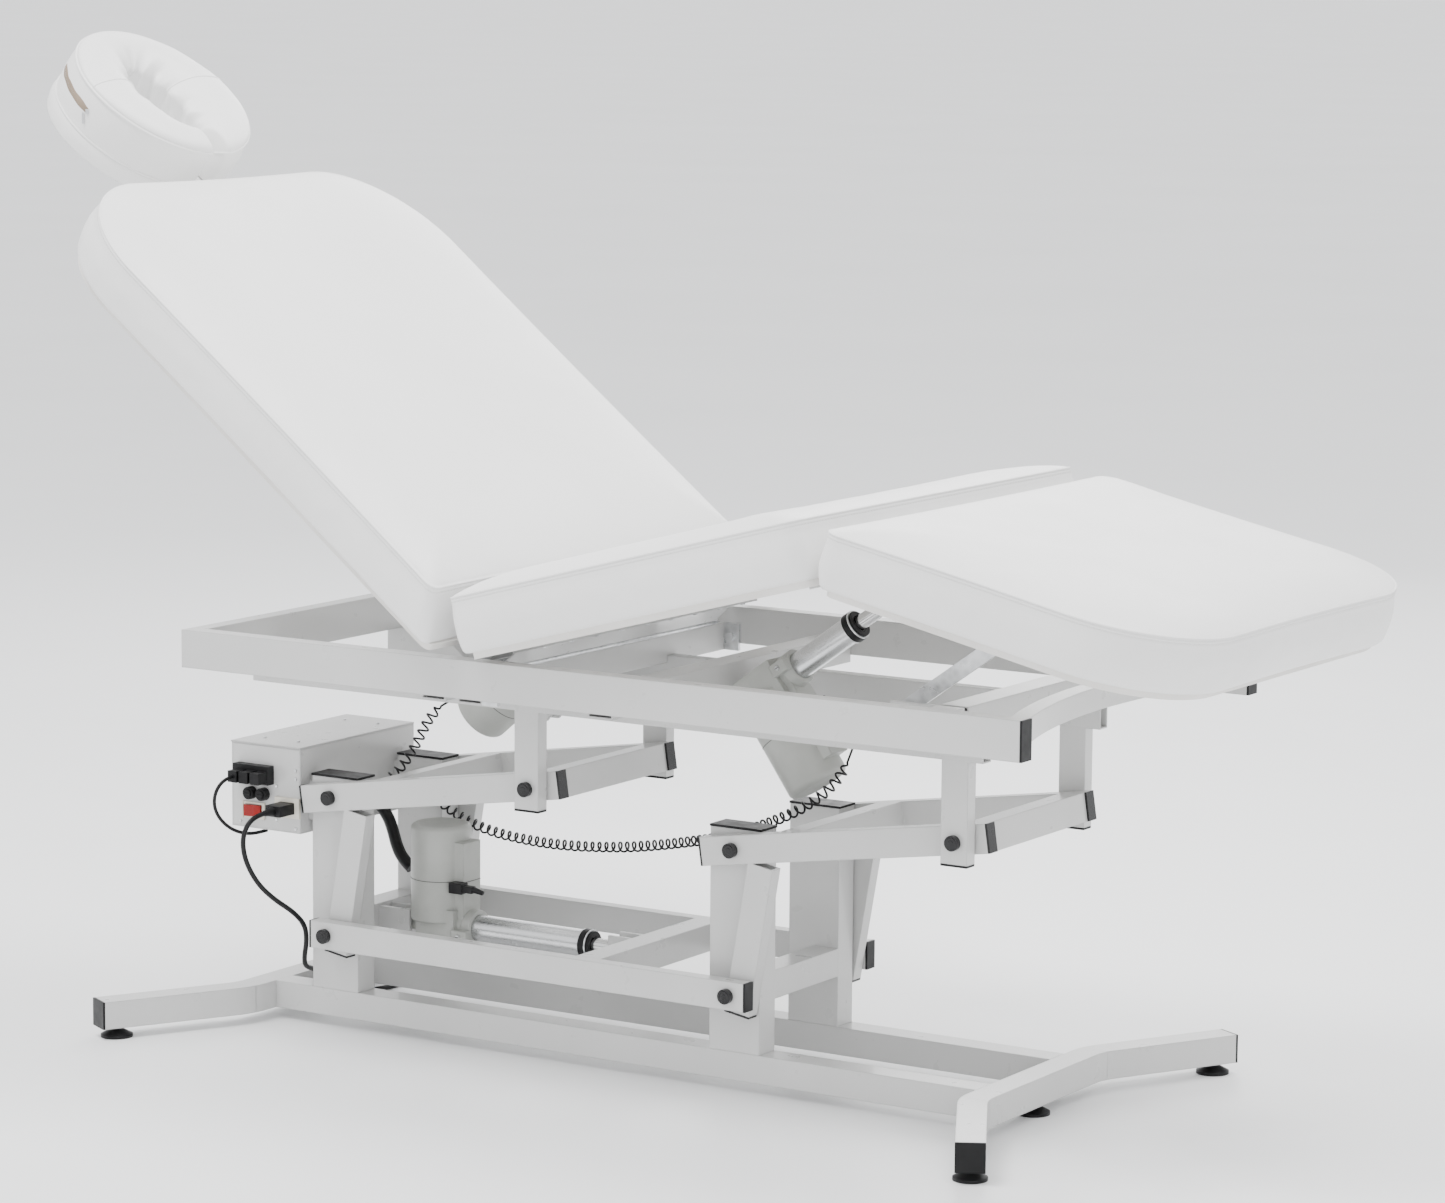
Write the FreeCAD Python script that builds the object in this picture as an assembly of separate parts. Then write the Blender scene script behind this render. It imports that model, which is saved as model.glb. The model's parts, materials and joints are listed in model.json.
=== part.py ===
import FreeCAD, Part
import math
import os

# Facial treatment bed. Millimetres. +X points to the foot end, +Y to the bed's far side, +Z up.
# Lengths along the bed are laid out from the head-side face of the foot posts, at floor level.
# ORIGIN_X then moves everything so that the origin is the middle of the whole bed on the floor.

V = FreeCAD.Vector
Y_AXIS = V(0, 1, 0)

# ---- driving dimensions ----
ORIGIN_X = -179.4         # middle of the overall length, in the layout above
FIT = 0.05                # radial clearance of a running pin
OPEN_FIT = 1.0            # radial clearance of the two pivots where the linkage is opened
GAP = 0.5                 # air gap between parts that slide past each other
WALL = 2.0                # steel tube wall
SQUARE = 38.0             # side of the square steel tube

# base
RAIL_BOTTOM = 15.0
RAIL_TOP = RAIL_BOTTOM + SQUARE
HEAD_FOOT_X = -734.0      # centre lines of the two cross feet
END_FOOT_X = 420.0
ARM_BEND_Y = 160.0        # where a cross foot turns outward
ARM_END_Y = 350.0
ARM_REACH = 104.0         # how far the turned ends lean outward
BEND_RADIUS = 90.0
FOOT_INSET = 24.0         # levelling foot to the end of its tube
FOOT_DISC_R = 22.0
FOOT_DISC_H = 4.0
FOOT_DOME_H = 7.0
FOOT_NECK_R = 9.0
FOOT_STEM_R = 5.0
FOOT_STEM_IN = 14.0       # how far the stem reaches into the tube
POST_X = 77.0
POST_PITCH = 650.0
POST_IN = 80.0
POST_OUT = POST_IN + SQUARE
POST_TOP = 350.0
CAP = 3.0                 # thickness of a plug's rim

# lift linkage, all in the plane of one side
ARM_W = 20.0              # thickness of a linkage tube across the bed
ARM_IN = POST_OUT + 4.0
ARM_OUT = ARM_IN + ARM_W
LINK_IN = ARM_OUT + 3.0
LINK_OUT = LINK_IN + ARM_W
TOP_PIVOT = (47.0, 326.5)     # on the post
LOW_PIVOT = (56.0, 139.0)     # on the link bar
DROP_PIVOT = (390.0, 378.0)   # on the drop leg
LEG_TOP = (91.0, 310.0)       # centre line of the crank's slanted leg
LEG_FOOT = (57.0, 112.0)
ARM_PAST = 34.0               # how far a crank arm runs past its drop pivot
CRANK_CROSS_AT = 66.0         # head-side face of the first cross tube, from the top pivot
PIN_R = 5.0
HEAD_R = 10.0
HEAD_H = 7.0
POST_TIE_Z = (122.0, 160.0)   # cross ties between a pair of posts
HEAD_TIE_Z = (119.0, 157.0)
LIFT_LUG_Z = (122.0, 154.0)
LINK_LEFT = -618.0
LINK_RIGHT = 81.0
LINK_BOTTOM = 120.0
LINK_CROSS_X = -173.0

# upper frame
TOP_OUT = 320.0
TOP_RAIL = 25.0
TOP_IN = TOP_OUT - TOP_RAIL
TOP_HEAD = -715.0
TOP_FOOT = 566.0
TOP_Z = 571.0
TOP_BOTTOM = 520.0
BOW = 45.0                # depth of the curved foot rail's arc
BOW_H = 30.0
DROP_W = 38.0
DROP_BOTTOM = 350.0
SUB_BOTTOM = TOP_BOTTOM - SQUARE
SUB_PAST = 40.0           # how far a lower rail runs past the foot drop leg's middle
HINGE_TUBE = (-278.0, -240.0)
HINGE_TUBE_Z = (510.0, 548.0)
FOOT_TUBE_X = (388.0, 426.0)
MOTOR_TUBE_X = (-75.0, -37.0)
BACK_TUBE_X = (-336.0, -298.0)

# ears that hang from the cross tubes and hold the drives' rear pins
BACK_LUG = [(-354.0, 442.0), (-330.0, 442.0), (-298.0, 480.0), (-298.0, 510.0), (-332.0, 510.0),
            (-336.0, 492.0), (-354.0, 475.0)]
SEAT_LUG = [(-47.0, 469.0), (-25.0, 469.0), (-25.0, 510.0), (-75.0, 510.0), (-75.0, 494.0)]

# upholstered sections: seam plane corner, slope, length and layers below and above the seam
WIDTH = 730.0
CROWN = 20.0
BOARD = 10.0
BOARD_INSET = 14.0
SOFTEN = 18.0             # rounding of a cushion's upper edge
SMALL_CORNER = 12.0
SQUARE_CORNER = 22.0
BACK_HIP = (-269.0, 667.0)
BACK_TILT = 38.2
BACK_LEN = 795.0
BACK_THICK = 78.0
BACK_BEVEL = 42.0
SEAT_HEAD = (-247.0, 656.0)
SEAT_TILT = -15.0
SEAT_LEN = 535.0
SEAT_THICK = 83.0
KNEE_TOP = (311.0, 786.0)
LEG_TILT = 12.3
LEG_LEN = 497.0
LEG_THICK = 80.0
BACK_CORNER = 160.0
LEG_CORNER = 150.0
BACK_HINGE = (-280.0, 552.0)
SEAT_HINGE = (-239.0, 552.0)
KNEE_HINGE = (302.0, 706.0)
HINGE_PIN_R = 2.7
HINGE_LEAF = 1.5
HEX_R = 6.5
HINGE_HALF = 270.0        # half the length of a long hinge
LEAF = 3.0
KNEE_GAP = 3.0            # leg cushion set back from its seam corner

# head support, measured along the back from the hip
CRADLE_START = 815.0
CRADLE_A = 132.0
CRADLE_B = 137.0
CRADLE_HOLE_A = 78.0
CRADLE_HOLE_B = 52.0
CRADLE_SLOT = 14.0
CRADLE_TOP = 24.0
CRADLE_SPLIT = -38.0
CRADLE_BOTTOM = -66.0
CRADLE_PLATE = 5.0
STEM_R = 9.0
STEM_W = -100.0
TILT_S = 808.0
STEM_Y = 90.0
SLEEVE = 15.0             # half the width of a stem's sleeve
STEM_LEN = 182.0
TILT_W = -80.0            # the cradle's tilt pin, below the back's seam plane
TILT_PIN_R = 4.0
KNOB_R = 14.0

# control box
BOX_X = (-779.0, -660.0)
BOX_Y = 132.0
BOX_Z = (268.0, 388.0)
SHEET = 1.5
BRACKET_Z = (286.0, 340.0)
PLUG_BLOCK_X = (-767.0, -706.0)
PLUG_BLOCK_Z = (333.0, 359.0)
PLUG_X = -760.0
PLUG_PITCH = 19.0
PLUG_W = 15.0
PLUG_Z = (336.0, 352.0)
PLUG_BASE = 14.0
PLUG_REACH = 34.0
FUSE_X = (-744.0, -722.0)
FUSE_Z = 318.0
FUSE_R = 8.5
FUSE_H = 9.0
BEZEL_X = (-757.0, -722.0)
BEZEL_Z = (282.0, 305.0)
INLET_X = (-702.0, -660.0)
INLET_Z = (289.0, 317.0)
RIM = 3.0
ROCKER_AT = (-739.5, -BOX_Y - 3.0)
ROCKER_TURN = 14.0
ROCKER_HALF = 13.0

# drives: rear pin, rod pin, tube and rod radii
LIFT_REAR = (-573.0, 138.0)
LIFT_ROD = (-212.0, 138.0)
BACK_REAR = (-345.0, 455.0)
BACK_ROD = (-587.0, 743.0)
SEAT_REAR = (-36.0, 482.0)
SEAT_ROD = (228.0, 669.0)
MOTOR_R = 42.0
MOTOR_AT = 56.0           # motor axis to the rear pin
NOSE_END = 108.0          # front of the gear case
NOSE_R = 24.0
BODY_ROUND = 8.0          # rounding of the motor's far end
RING_LEN = 14.0
DRIVE_TUBE_R = 18.0
DRIVE_ROD_R = 10.0
EYE_R = 13.0
EYE_W = 16.0
EAR_R = 18.0
GEAR_START = 34.0
GEAR_HALF_Y = 30.0
GEAR_HALF_Z = 26.0
LUG_GAP = 3.5
LUG_T = 5.0
TIE_FIXED = (334.0, 545.0)
TIE_LEG = (472.5, 643.0)
TIE_Y = 200.0
TIE_T = 5.0
TIE_LUG_Y = (TIE_Y + TIE_T + GAP, TIE_Y + TIE_T + GAP + LUG_T)
TIE_NOTCH_Z = 531.0       # floor of the notch where a tie bar lies in the foot tube
LUG_Y = (EYE_W / 2 + LUG_GAP, EYE_W / 2 + LUG_GAP + LUG_T)

# leads
CURLY_R = 8.0
MAINS_R = 3.5
COIL_R = 45.0
COIL_BAND = 14.0          # two leads side by side
COIL_H = 21.0             # three leads deep


# ---- small helpers ----
def block(x, y, z):
    return Part.makeBox(x[1] - x[0], y[1] - y[0], z[1] - z[0], V(x[0], y[0], z[0]))


def both_sides(shape):
    other = shape.mirror(V(0, 0, 0), Y_AXIS)
    return [shape, other]


def group(shapes):
    solids = []
    for shape in shapes:
        solids += shape.Solids
    return Part.makeCompound(solids)


def fuse(first, others):
    return first.fuse(others).removeSplitter()


def pin_y(x, z, y0, y1, r):
    return Part.makeCylinder(r, y1 - y0, V(x, y0, z), Y_AXIS)


def plate(points, y):
    # a flat plate with the given outline in X and Z, and its faces at the two values in y
    corners = [V(px, y[0], pz) for px, pz in points]
    return Part.Face(Part.makePolygon(corners + corners[:1])).extrude(V(0, y[1] - y[0], 0))


def tube(axis, x, y, z):
    outer = block(x, y, z)
    spans = [x, y, z]
    for i in range(3):
        if i != axis:
            spans[i] = (spans[i][0] + WALL, spans[i][1] - WALL)
    return outer.cut(block(*spans))


def turned(shape, corner, tilt):
    # a positive tilt lowers the +X end
    moved = shape.copy()
    moved.rotate(V(0, 0, 0), Y_AXIS, tilt)
    moved.translate(V(corner[0], 0, corner[1]))
    return moved


def along(start, end):
    run = math.hypot(end[0] - start[0], end[1] - start[1])
    tilt = -math.degrees(math.atan2(end[1] - start[1], end[0] - start[0]))
    return run, tilt


def slanted_tube(start, end, before, after, y):
    run, tilt = along(start, end)
    bar = tube(0, (-before, run + after), y, (-SQUARE / 2, SQUARE / 2))
    return turned(bar, start, tilt)


def route(points):
    # straight runs joined by tangent arcs
    pts = [V(*p) for p in points]
    edges = []
    radii = []
    here = pts[0]
    for i in range(1, len(pts) - 1):
        back = pts[i - 1] - pts[i]
        ahead = pts[i + 1] - pts[i]
        cut = 0.45 * min(back.Length, ahead.Length)
        turn = math.pi - back.getAngle(ahead)
        radius = cut / math.tan(turn / 2)
        radii.append(radius)
        enter = pts[i] + back.normalize() * cut
        leave = pts[i] + ahead.normalize() * cut
        middle = (enter + leave) * 0.5 - pts[i]
        centre_gap = math.hypot(radius, cut)
        bulge = pts[i] + middle.normalize() * (centre_gap - radius)
        edges.append(Part.LineSegment(here, enter).toShape())
        edges.append(Part.Arc(enter, bulge, leave).toShape())
        here = leave
    edges.append(Part.LineSegment(here, pts[-1]).toShape())
    return Part.Wire(edges), radii


def cord_tube(name, points, radius):
    path, radii = route(points)
    start = V(*points[0])
    heading = V(*points[1]) - start
    ring = Part.Wire(Part.makeCircle(radius, start, heading))
    solid = path.makePipeShell([ring], True, False)
    ideal = math.pi * radius ** 2 * path.Length
    print(name, "length", round(path.Length), "least radius", round(min(radii), 1),
          "volume ratio", round(solid.Volume / ideal, 3))
    return solid


# ---- base ----
def cross_foot_centre(x, out):
    return [(x + out * ARM_REACH, -ARM_END_Y), (x, -ARM_BEND_Y), (x, ARM_BEND_Y),
            (x + out * ARM_REACH, ARM_END_Y)]


def cross_foot(x, out):
    ends = cross_foot_centre(x, out)
    z = RAIL_BOTTOM + SQUARE / 2
    pts = [V(p[0], p[1], z) for p in ends]
    lean = math.atan2(ARM_REACH, ARM_END_Y - ARM_BEND_Y)
    cut = BEND_RADIUS * math.tan(lean / 2)
    edges = []
    here = pts[0]
    for i in (1, 2):
        back = (pts[i - 1] - pts[i]).normalize()
        ahead = (pts[i + 1] - pts[i]).normalize()
        enter = pts[i] + back * cut
        leave = pts[i] + ahead * cut
        inward = ((enter + leave) * 0.5 - pts[i]).normalize()
        bulge = pts[i] + inward * (math.hypot(BEND_RADIUS, cut) - BEND_RADIUS)
        edges.append(Part.LineSegment(here, enter).toShape())
        edges.append(Part.Arc(enter, bulge, leave).toShape())
        here = leave
    edges.append(Part.LineSegment(here, pts[3]).toShape())
    path = Part.Wire(edges)
    heading = (pts[1] - pts[0]).normalize()
    side = V(0, 0, 1).cross(heading)
    solids = []
    for half in (SQUARE / 2, SQUARE / 2 - WALL):
        corners = []
        for a, b in ((-1, -1), (1, -1), (1, 1), (-1, 1), (-1, -1)):
            corners.append(pts[0] + side * (a * half) + V(0, 0, b * half))
        solids.append(path.makePipeShell([Part.makePolygon(corners)], True, True))
    return solids[0].cut(solids[1])


def foot_runs(foot):
    # the middle run and the two turned runs of a cross foot
    x = (foot.BoundBox.XMin - 1, foot.BoundBox.XMax + 1)
    spans = ((-ARM_END_Y - SQUARE, -ARM_BEND_Y), (-ARM_BEND_Y, ARM_BEND_Y), (ARM_BEND_Y, ARM_END_Y + SQUARE))
    return [foot.common(block(x, y, (0, RAIL_TOP + 1))) for y in spans]


def foot_places():
    lean = math.atan2(ARM_REACH, ARM_END_Y - ARM_BEND_Y)
    places = []
    for x, out in ((HEAD_FOOT_X, -1), (END_FOOT_X, 1)):
        tip_x = x + out * (ARM_REACH - FOOT_INSET * math.sin(lean))
        tip_y = ARM_END_Y - FOOT_INSET * math.cos(lean)
        places += [(tip_x, -tip_y), (x, 0.0), (tip_x, tip_y)]
    return places


def levelling_foot(x, y):
    disc = Part.makeCylinder(FOOT_DISC_R, FOOT_DISC_H, V(x, y, 0))
    dome = Part.makeCone(FOOT_DISC_R, FOOT_NECK_R, FOOT_DOME_H, V(x, y, FOOT_DISC_H))
    low = FOOT_DISC_H + FOOT_DOME_H
    stem = Part.makeCylinder(FOOT_STEM_R, RAIL_BOTTOM + FOOT_STEM_IN - low, V(x, y, low))
    return fuse(disc, [dome, stem])


def cross_feet():
    runs = foot_runs(cross_foot(HEAD_FOOT_X, -1)) + foot_runs(cross_foot(END_FOOT_X, 1))
    holes = []
    for x, y in foot_places():
        holes.append(Part.makeCylinder(FOOT_STEM_R + FIT, WALL + 2.0, V(x, y, RAIL_BOTTOM - 1.0)))
    drilled = []
    for run in runs:
        for hole in holes:
            run = run.cut(hole)
        drilled.append(run)
    return group(drilled)


def base_rails():
    rail = tube(0, (HEAD_FOOT_X + SQUARE / 2, END_FOOT_X - SQUARE / 2), (POST_IN, POST_OUT),
                (RAIL_BOTTOM, RAIL_TOP))
    return group(both_sides(rail))


def posts():
    parts = []
    for x in (0.0, -POST_PITCH):
        post = tube(2, (x, x + POST_X), (POST_IN, POST_OUT), (RAIL_TOP, POST_TOP))
        bore = pin_y(x + TOP_PIVOT[0], TOP_PIVOT[1], POST_IN - 1, POST_OUT + 1, PIN_R)
        parts += both_sides(post.cut(bore))
    parts.append(tube(1, (POST_X - SQUARE, POST_X), (-POST_IN, POST_IN), POST_TIE_Z))
    parts.append(tube(1, (-POST_PITCH, -POST_PITCH + SQUARE), (-POST_IN, POST_IN), HEAD_TIE_Z))
    lug = block((-POST_PITCH + SQUARE, LIFT_REAR[0] + EYE_R + 1.0), LUG_Y, LIFT_LUG_Z)
    parts += both_sides(lug.cut(pin_y(LIFT_REAR[0], LIFT_REAR[1], 0, POST_IN, PIN_R)))
    parts.append(pin_y(LIFT_REAR[0], LIFT_REAR[1], -LUG_Y[1], LUG_Y[1], PIN_R))
    return group(parts + cord_clips())


def base_plugs():
    parts = []
    for x in (0.0, -POST_PITCH):
        cap = block((x - 1, x + POST_X + 1), (POST_IN - 1, POST_OUT + 1), (POST_TOP, POST_TOP + CAP))
        parts += both_sides(cap)
    lean = math.degrees(math.atan2(ARM_REACH, ARM_END_Y - ARM_BEND_Y))
    half = SQUARE / 2
    for x, out in ((HEAD_FOOT_X, -1), (END_FOOT_X, 1)):
        plug = block((-half, half), (0, CAP), (RAIL_BOTTOM, RAIL_TOP))
        plug.rotate(V(0, 0, 0), V(0, 0, 1), -out * lean)
        plug.translate(V(x + out * ARM_REACH, ARM_END_Y, 0))
        parts += both_sides(plug)
    return group(parts)


def bolt(x, z, y_in, y_out, shank=PIN_R):
    body = pin_y(x, z, y_in, y_out, shank)
    head = pin_y(x, z, y_out, y_out + HEAD_H, HEAD_R)
    return fuse(body, [head])


def post_bolts():
    parts = []
    for x in (0.0, -POST_PITCH):
        one = bolt(x + TOP_PIVOT[0], TOP_PIVOT[1], POST_IN, ARM_OUT + GAP)
        collar = pin_y(x + TOP_PIVOT[0], TOP_PIVOT[1], POST_OUT, ARM_IN - GAP, HEAD_R)
        parts += both_sides(fuse(one, [collar]))
    return group(parts)


# ---- lift linkage ----
def shifted(point, shift):
    return point[0] + shift, point[1]


def crank(shift):
    top = shifted(TOP_PIVOT, shift)
    drop = shifted(DROP_PIVOT, shift)
    low = shifted(LOW_PIVOT, shift)
    y = (ARM_IN, ARM_OUT)
    half = SQUARE / 2
    run, tilt = along(top, drop)
    arm = slanted_tube(top, drop, TOP_PIVOT[0], ARM_PAST, y)
    leg = slanted_tube(shifted(LEG_FOOT, shift), shifted(LEG_TOP, shift), 0.0, 0.0, y)
    above = turned(block((-TOP_PIVOT[0] - 5, run), y, (-half, half)), top, tilt)
    leg = max(leg.cut(above).Solids, key=lambda piece: piece.Volume)
    arm = arm.cut(pin_y(top[0], top[1], ARM_IN - 1, ARM_OUT + 1, PIN_R + FIT))
    arm = arm.cut(pin_y(drop[0], drop[1], ARM_IN - 1, ARM_OUT + 1, PIN_R))
    leg = leg.cut(pin_y(low[0], low[1], ARM_IN - 1, ARM_OUT + 1, PIN_R))
    parts = both_sides(arm) + both_sides(leg)
    for offset in (CRANK_CROSS_AT, run + ARM_PAST - SQUARE):
        cross = tube(1, (offset, offset + SQUARE), (-ARM_IN, ARM_IN), (-half, half))
        parts.append(turned(cross, top, tilt))
    return group(parts)


def crank_fittings(shift):
    top = shifted(TOP_PIVOT, shift)
    drop = shifted(DROP_PIVOT, shift)
    low = shifted(LOW_PIVOT, shift)
    run, tilt = along(top, drop)
    half = SQUARE / 2
    parts = []
    for x, z in (drop, low):
        one = bolt(x, z, ARM_IN, LINK_OUT + GAP)
        collar = pin_y(x, z, ARM_OUT, LINK_IN - GAP, HEAD_R)
        parts += both_sides(fuse(one, [collar]))
    arm_plug = block((run + ARM_PAST, run + ARM_PAST + CAP), (ARM_IN, ARM_OUT), (-half, half))
    parts += both_sides(turned(arm_plug, top, tilt))
    back_plug = block((-TOP_PIVOT[0] - CAP, -TOP_PIVOT[0]), (ARM_IN, ARM_OUT), (-half, half))
    parts += both_sides(turned(back_plug, top, tilt))
    leg_foot = shifted(LEG_FOOT, shift)
    leg_tilt = along(leg_foot, shifted(LEG_TOP, shift))[1]
    leg_plug = block((-CAP, 0), (ARM_IN, ARM_OUT), (-half, half))
    parts += both_sides(turned(leg_plug, leg_foot, leg_tilt))
    return group(parts)


def link_frame():
    bar = tube(0, (LINK_LEFT, LINK_RIGHT), (LINK_IN, LINK_OUT), (LINK_BOTTOM, LINK_BOTTOM + SQUARE))
    for shift, clearance in ((0.0, OPEN_FIT), (-POST_PITCH, FIT)):
        hole = pin_y(LOW_PIVOT[0] + shift, LOW_PIVOT[1], LINK_IN - 1, LINK_OUT + 1, PIN_R + clearance)
        bar = bar.cut(hole)
    parts = both_sides(bar)
    cross = tube(1, (LINK_CROSS_X - SQUARE / 2, LINK_CROSS_X + SQUARE / 2), (-LINK_IN, LINK_IN),
                 (LINK_BOTTOM, LINK_BOTTOM + SQUARE))
    parts.append(cross)
    lug_x = (LIFT_ROD[0] - EYE_R - 3.0, LINK_CROSS_X - SQUARE / 2)
    parts += both_sides(block(lug_x, LUG_Y, (LINK_BOTTOM, LINK_BOTTOM + SQUARE)))
    return group(parts)


def link_plugs():
    z = (LINK_BOTTOM, LINK_BOTTOM + SQUARE)
    right = block((LINK_RIGHT, LINK_RIGHT + CAP), (LINK_IN, LINK_OUT), z)
    left = block((LINK_LEFT - CAP, LINK_LEFT), (LINK_IN, LINK_OUT), z)
    return group(both_sides(right) + both_sides(left))


# ---- upper frame ----
def upper_rails():
    side = tube(0, (TOP_HEAD, TOP_FOOT), (TOP_IN, TOP_OUT), (TOP_BOTTOM, TOP_Z))
    parts = both_sides(side)
    parts.append(tube(1, (TOP_HEAD, TOP_HEAD + TOP_RAIL), (-TOP_IN, TOP_IN), (TOP_BOTTOM, TOP_Z)))
    parts.append(bow_rail())
    return group(parts)


def bow_rail():
    chord = 2 * TOP_IN
    radius = (chord ** 2 / 4 + BOW ** 2) / (2 * BOW)
    middle_x = TOP_FOOT - TOP_RAIL / 2 - BOW
    centre_x = middle_x + radius
    base = TOP_Z - BOW_H
    outer = Part.makeCylinder(radius + TOP_RAIL / 2, BOW_H, V(centre_x, 0, base))
    inner = Part.makeCylinder(radius - TOP_RAIL / 2, BOW_H, V(centre_x, 0, base))
    band = block((middle_x - TOP_RAIL, TOP_FOOT + TOP_RAIL), (-TOP_IN, TOP_IN), (base, TOP_Z))
    return band.common(outer.cut(inner))


def upper_plugs():
    side = block((TOP_FOOT, TOP_FOOT + CAP), (TOP_IN, TOP_OUT), (TOP_BOTTOM, TOP_Z))
    parts = both_sides(side)
    for shift in (0.0, -POST_PITCH):
        x = DROP_PIVOT[0] + shift
        cap = block((x - DROP_W / 2, x + DROP_W / 2), (LINK_IN, LINK_OUT), (DROP_BOTTOM - CAP, DROP_BOTTOM))
        parts += both_sides(cap)
    return group(parts)


def drop_frames():
    parts = []
    for shift, clearance in ((0.0, OPEN_FIT), (-POST_PITCH, FIT)):
        x = DROP_PIVOT[0] + shift
        leg = tube(2, (x - DROP_W / 2, x + DROP_W / 2), (LINK_IN, LINK_OUT), (DROP_BOTTOM, SUB_BOTTOM))
        hole = pin_y(x, DROP_PIVOT[1], LINK_IN - 1, LINK_OUT + 1, PIN_R + clearance)
        parts += both_sides(leg.cut(hole))
    sub_x = (TOP_HEAD + TOP_RAIL, DROP_PIVOT[0] + SUB_PAST)
    sub = tube(0, sub_x, (LINK_IN, LINK_OUT), (SUB_BOTTOM, TOP_BOTTOM))
    for x in (HINGE_TUBE, BACK_TUBE_X, MOTOR_TUBE_X):
        sub = sub.cut(block(x, (LINK_IN - 1, LINK_OUT + 1), (HINGE_TUBE_Z[0], TOP_BOTTOM + 1)))
    parts += both_sides(sub)
    head_post = block((TOP_HEAD, TOP_HEAD + TOP_RAIL), (LINK_IN, LINK_OUT), (SUB_BOTTOM, TOP_BOTTOM))
    parts += both_sides(head_post)
    return group(parts)


def cross_tubes():
    y = (-TOP_IN, TOP_IN)
    parts = [tube(1, HINGE_TUBE, y, HINGE_TUBE_Z), tube(1, BACK_TUBE_X, y, HINGE_TUBE_Z)]
    parts.append(tube(1, MOTOR_TUBE_X, y, HINGE_TUBE_Z))
    foot_z = (TOP_BOTTOM, TOP_BOTTOM + SQUARE)
    foot_tube = tube(1, FOOT_TUBE_X, y, foot_z)
    notch_x = (FOOT_TUBE_X[0] - 1, FOOT_TUBE_X[1] + 1)
    notch = block(notch_x, (TIE_Y - 3, TIE_LUG_Y[0] + 1), (TIE_NOTCH_Z, foot_z[1] + 1))
    for side in both_sides(notch):
        foot_tube = foot_tube.cut(side)
    parts.append(foot_tube)
    for pin, ear in ((BACK_REAR, BACK_LUG), (SEAT_REAR, SEAT_LUG)):
        lug = plate(ear, LUG_Y)
        parts += both_sides(lug.cut(pin_y(pin[0], pin[1], 0, POST_IN, PIN_R)))
        parts.append(pin_y(pin[0], pin[1], -LUG_Y[1], LUG_Y[1], PIN_R))
    lug = block((TIE_FIXED[0] - 12, FOOT_TUBE_X[0]), TIE_LUG_Y, foot_z)
    pin = pin_y(TIE_FIXED[0], TIE_FIXED[1], TIE_Y - 3, TIE_LUG_Y[1], PIN_R)
    parts += both_sides(lug.cut(pin_y(TIE_FIXED[0], TIE_FIXED[1], TIE_Y, TOP_IN, PIN_R))) + both_sides(pin)
    return group(parts)


def hinge_hardware():
    leaf_z = (HINGE_TUBE_Z[1], HINGE_TUBE_Z[1] + HINGE_LEAF)
    back_leaf = block((BACK_HINGE[0] + 0.5, BACK_HINGE[0] + 18.0), (-HINGE_HALF, HINGE_HALF), leaf_z)
    seat_leaf = block((SEAT_HINGE[0] - 18.0, SEAT_HINGE[0] - 1.0), (-HINGE_HALF, HINGE_HALF), leaf_z)
    parts = []
    for leaf, (x, z) in ((back_leaf, BACK_HINGE), (seat_leaf, SEAT_HINGE)):
        parts.append(fuse(leaf, [pin_y(x, z, -HINGE_HALF, HINGE_HALF, HINGE_PIN_R)]))
    flange = block((HINGE_TUBE[1], HINGE_TUBE[1] + 24.0), (TOP_IN - 5.0, TOP_IN), HINGE_TUBE_Z)
    parts += both_sides(flange)
    corners = []
    for degrees in range(0, 361, 60):
        a = math.radians(degrees)
        corners.append(V(HEX_R * math.cos(a), 0, HEX_R * math.sin(a)))
    head = Part.Face(Part.makePolygon(corners)).extrude(V(0, -5.0, 0))
    head.translate(V(HINGE_TUBE[1] + 12.0, TOP_IN - 5.0, (HINGE_TUBE_Z[0] + HINGE_TUBE_Z[1]) / 2))
    parts += both_sides(head)
    return group(parts)


# ---- upholstered sections ----
def corner_edges(slab, x):
    # the upright edges of a flat slab that stand at the given x
    found = []
    for edge in slab.Edges:
        box = edge.BoundBox
        if box.XLength < 0.01 and box.YLength < 0.01 and abs(box.XMin - x) < 0.01:
            found.append(edge)
    return found


def rounded_slab(x, half, z, corner_low, corner_high):
    slab = block(x, (-half, half), z)
    slab = slab.makeFillet(corner_low, corner_edges(slab, x[0]))
    return slab.makeFillet(corner_high, corner_edges(slab, x[1]))


def pad(x, corner_low, corner_high, low, high, soften):
    solid = rounded_slab(x, WIDTH / 2, (low, high), corner_low, corner_high)
    rim = []
    for edge in solid.Edges:
        if edge.BoundBox.ZMin > high - 0.01:
            rim.append(edge)
    return solid.makeFillet(soften, rim)


def hip_wedge():
    # what is cut from the hip end so that it leans out towards the hinge
    far = 200.0
    low = -BACK_THICK - 1
    high = CROWN + 1
    points = [(0, high), (0, 0), (BACK_BEVEL, low), (far, low), (far, high)]
    return plate(points, (-WIDTH, WIDTH))


def back_cushion():
    x = (-BACK_LEN, BACK_BEVEL + 6.0)
    body = pad(x, BACK_CORNER, SMALL_CORNER, -BACK_THICK + BOARD, CROWN, SOFTEN)
    return turned(body.cut(hip_wedge()), BACK_HIP, BACK_TILT)


def inset_board(x, corner_low, corner_high, thick):
    return rounded_slab(x, WIDTH / 2 - BOARD_INSET, (-thick, -thick + BOARD), corner_low, corner_high)


def back_board():
    x = (BOARD_INSET - BACK_LEN, BACK_BEVEL - 6.0)
    return turned(inset_board(x, BACK_CORNER - BOARD_INSET, SMALL_CORNER, BACK_THICK), BACK_HIP, BACK_TILT)


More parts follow.
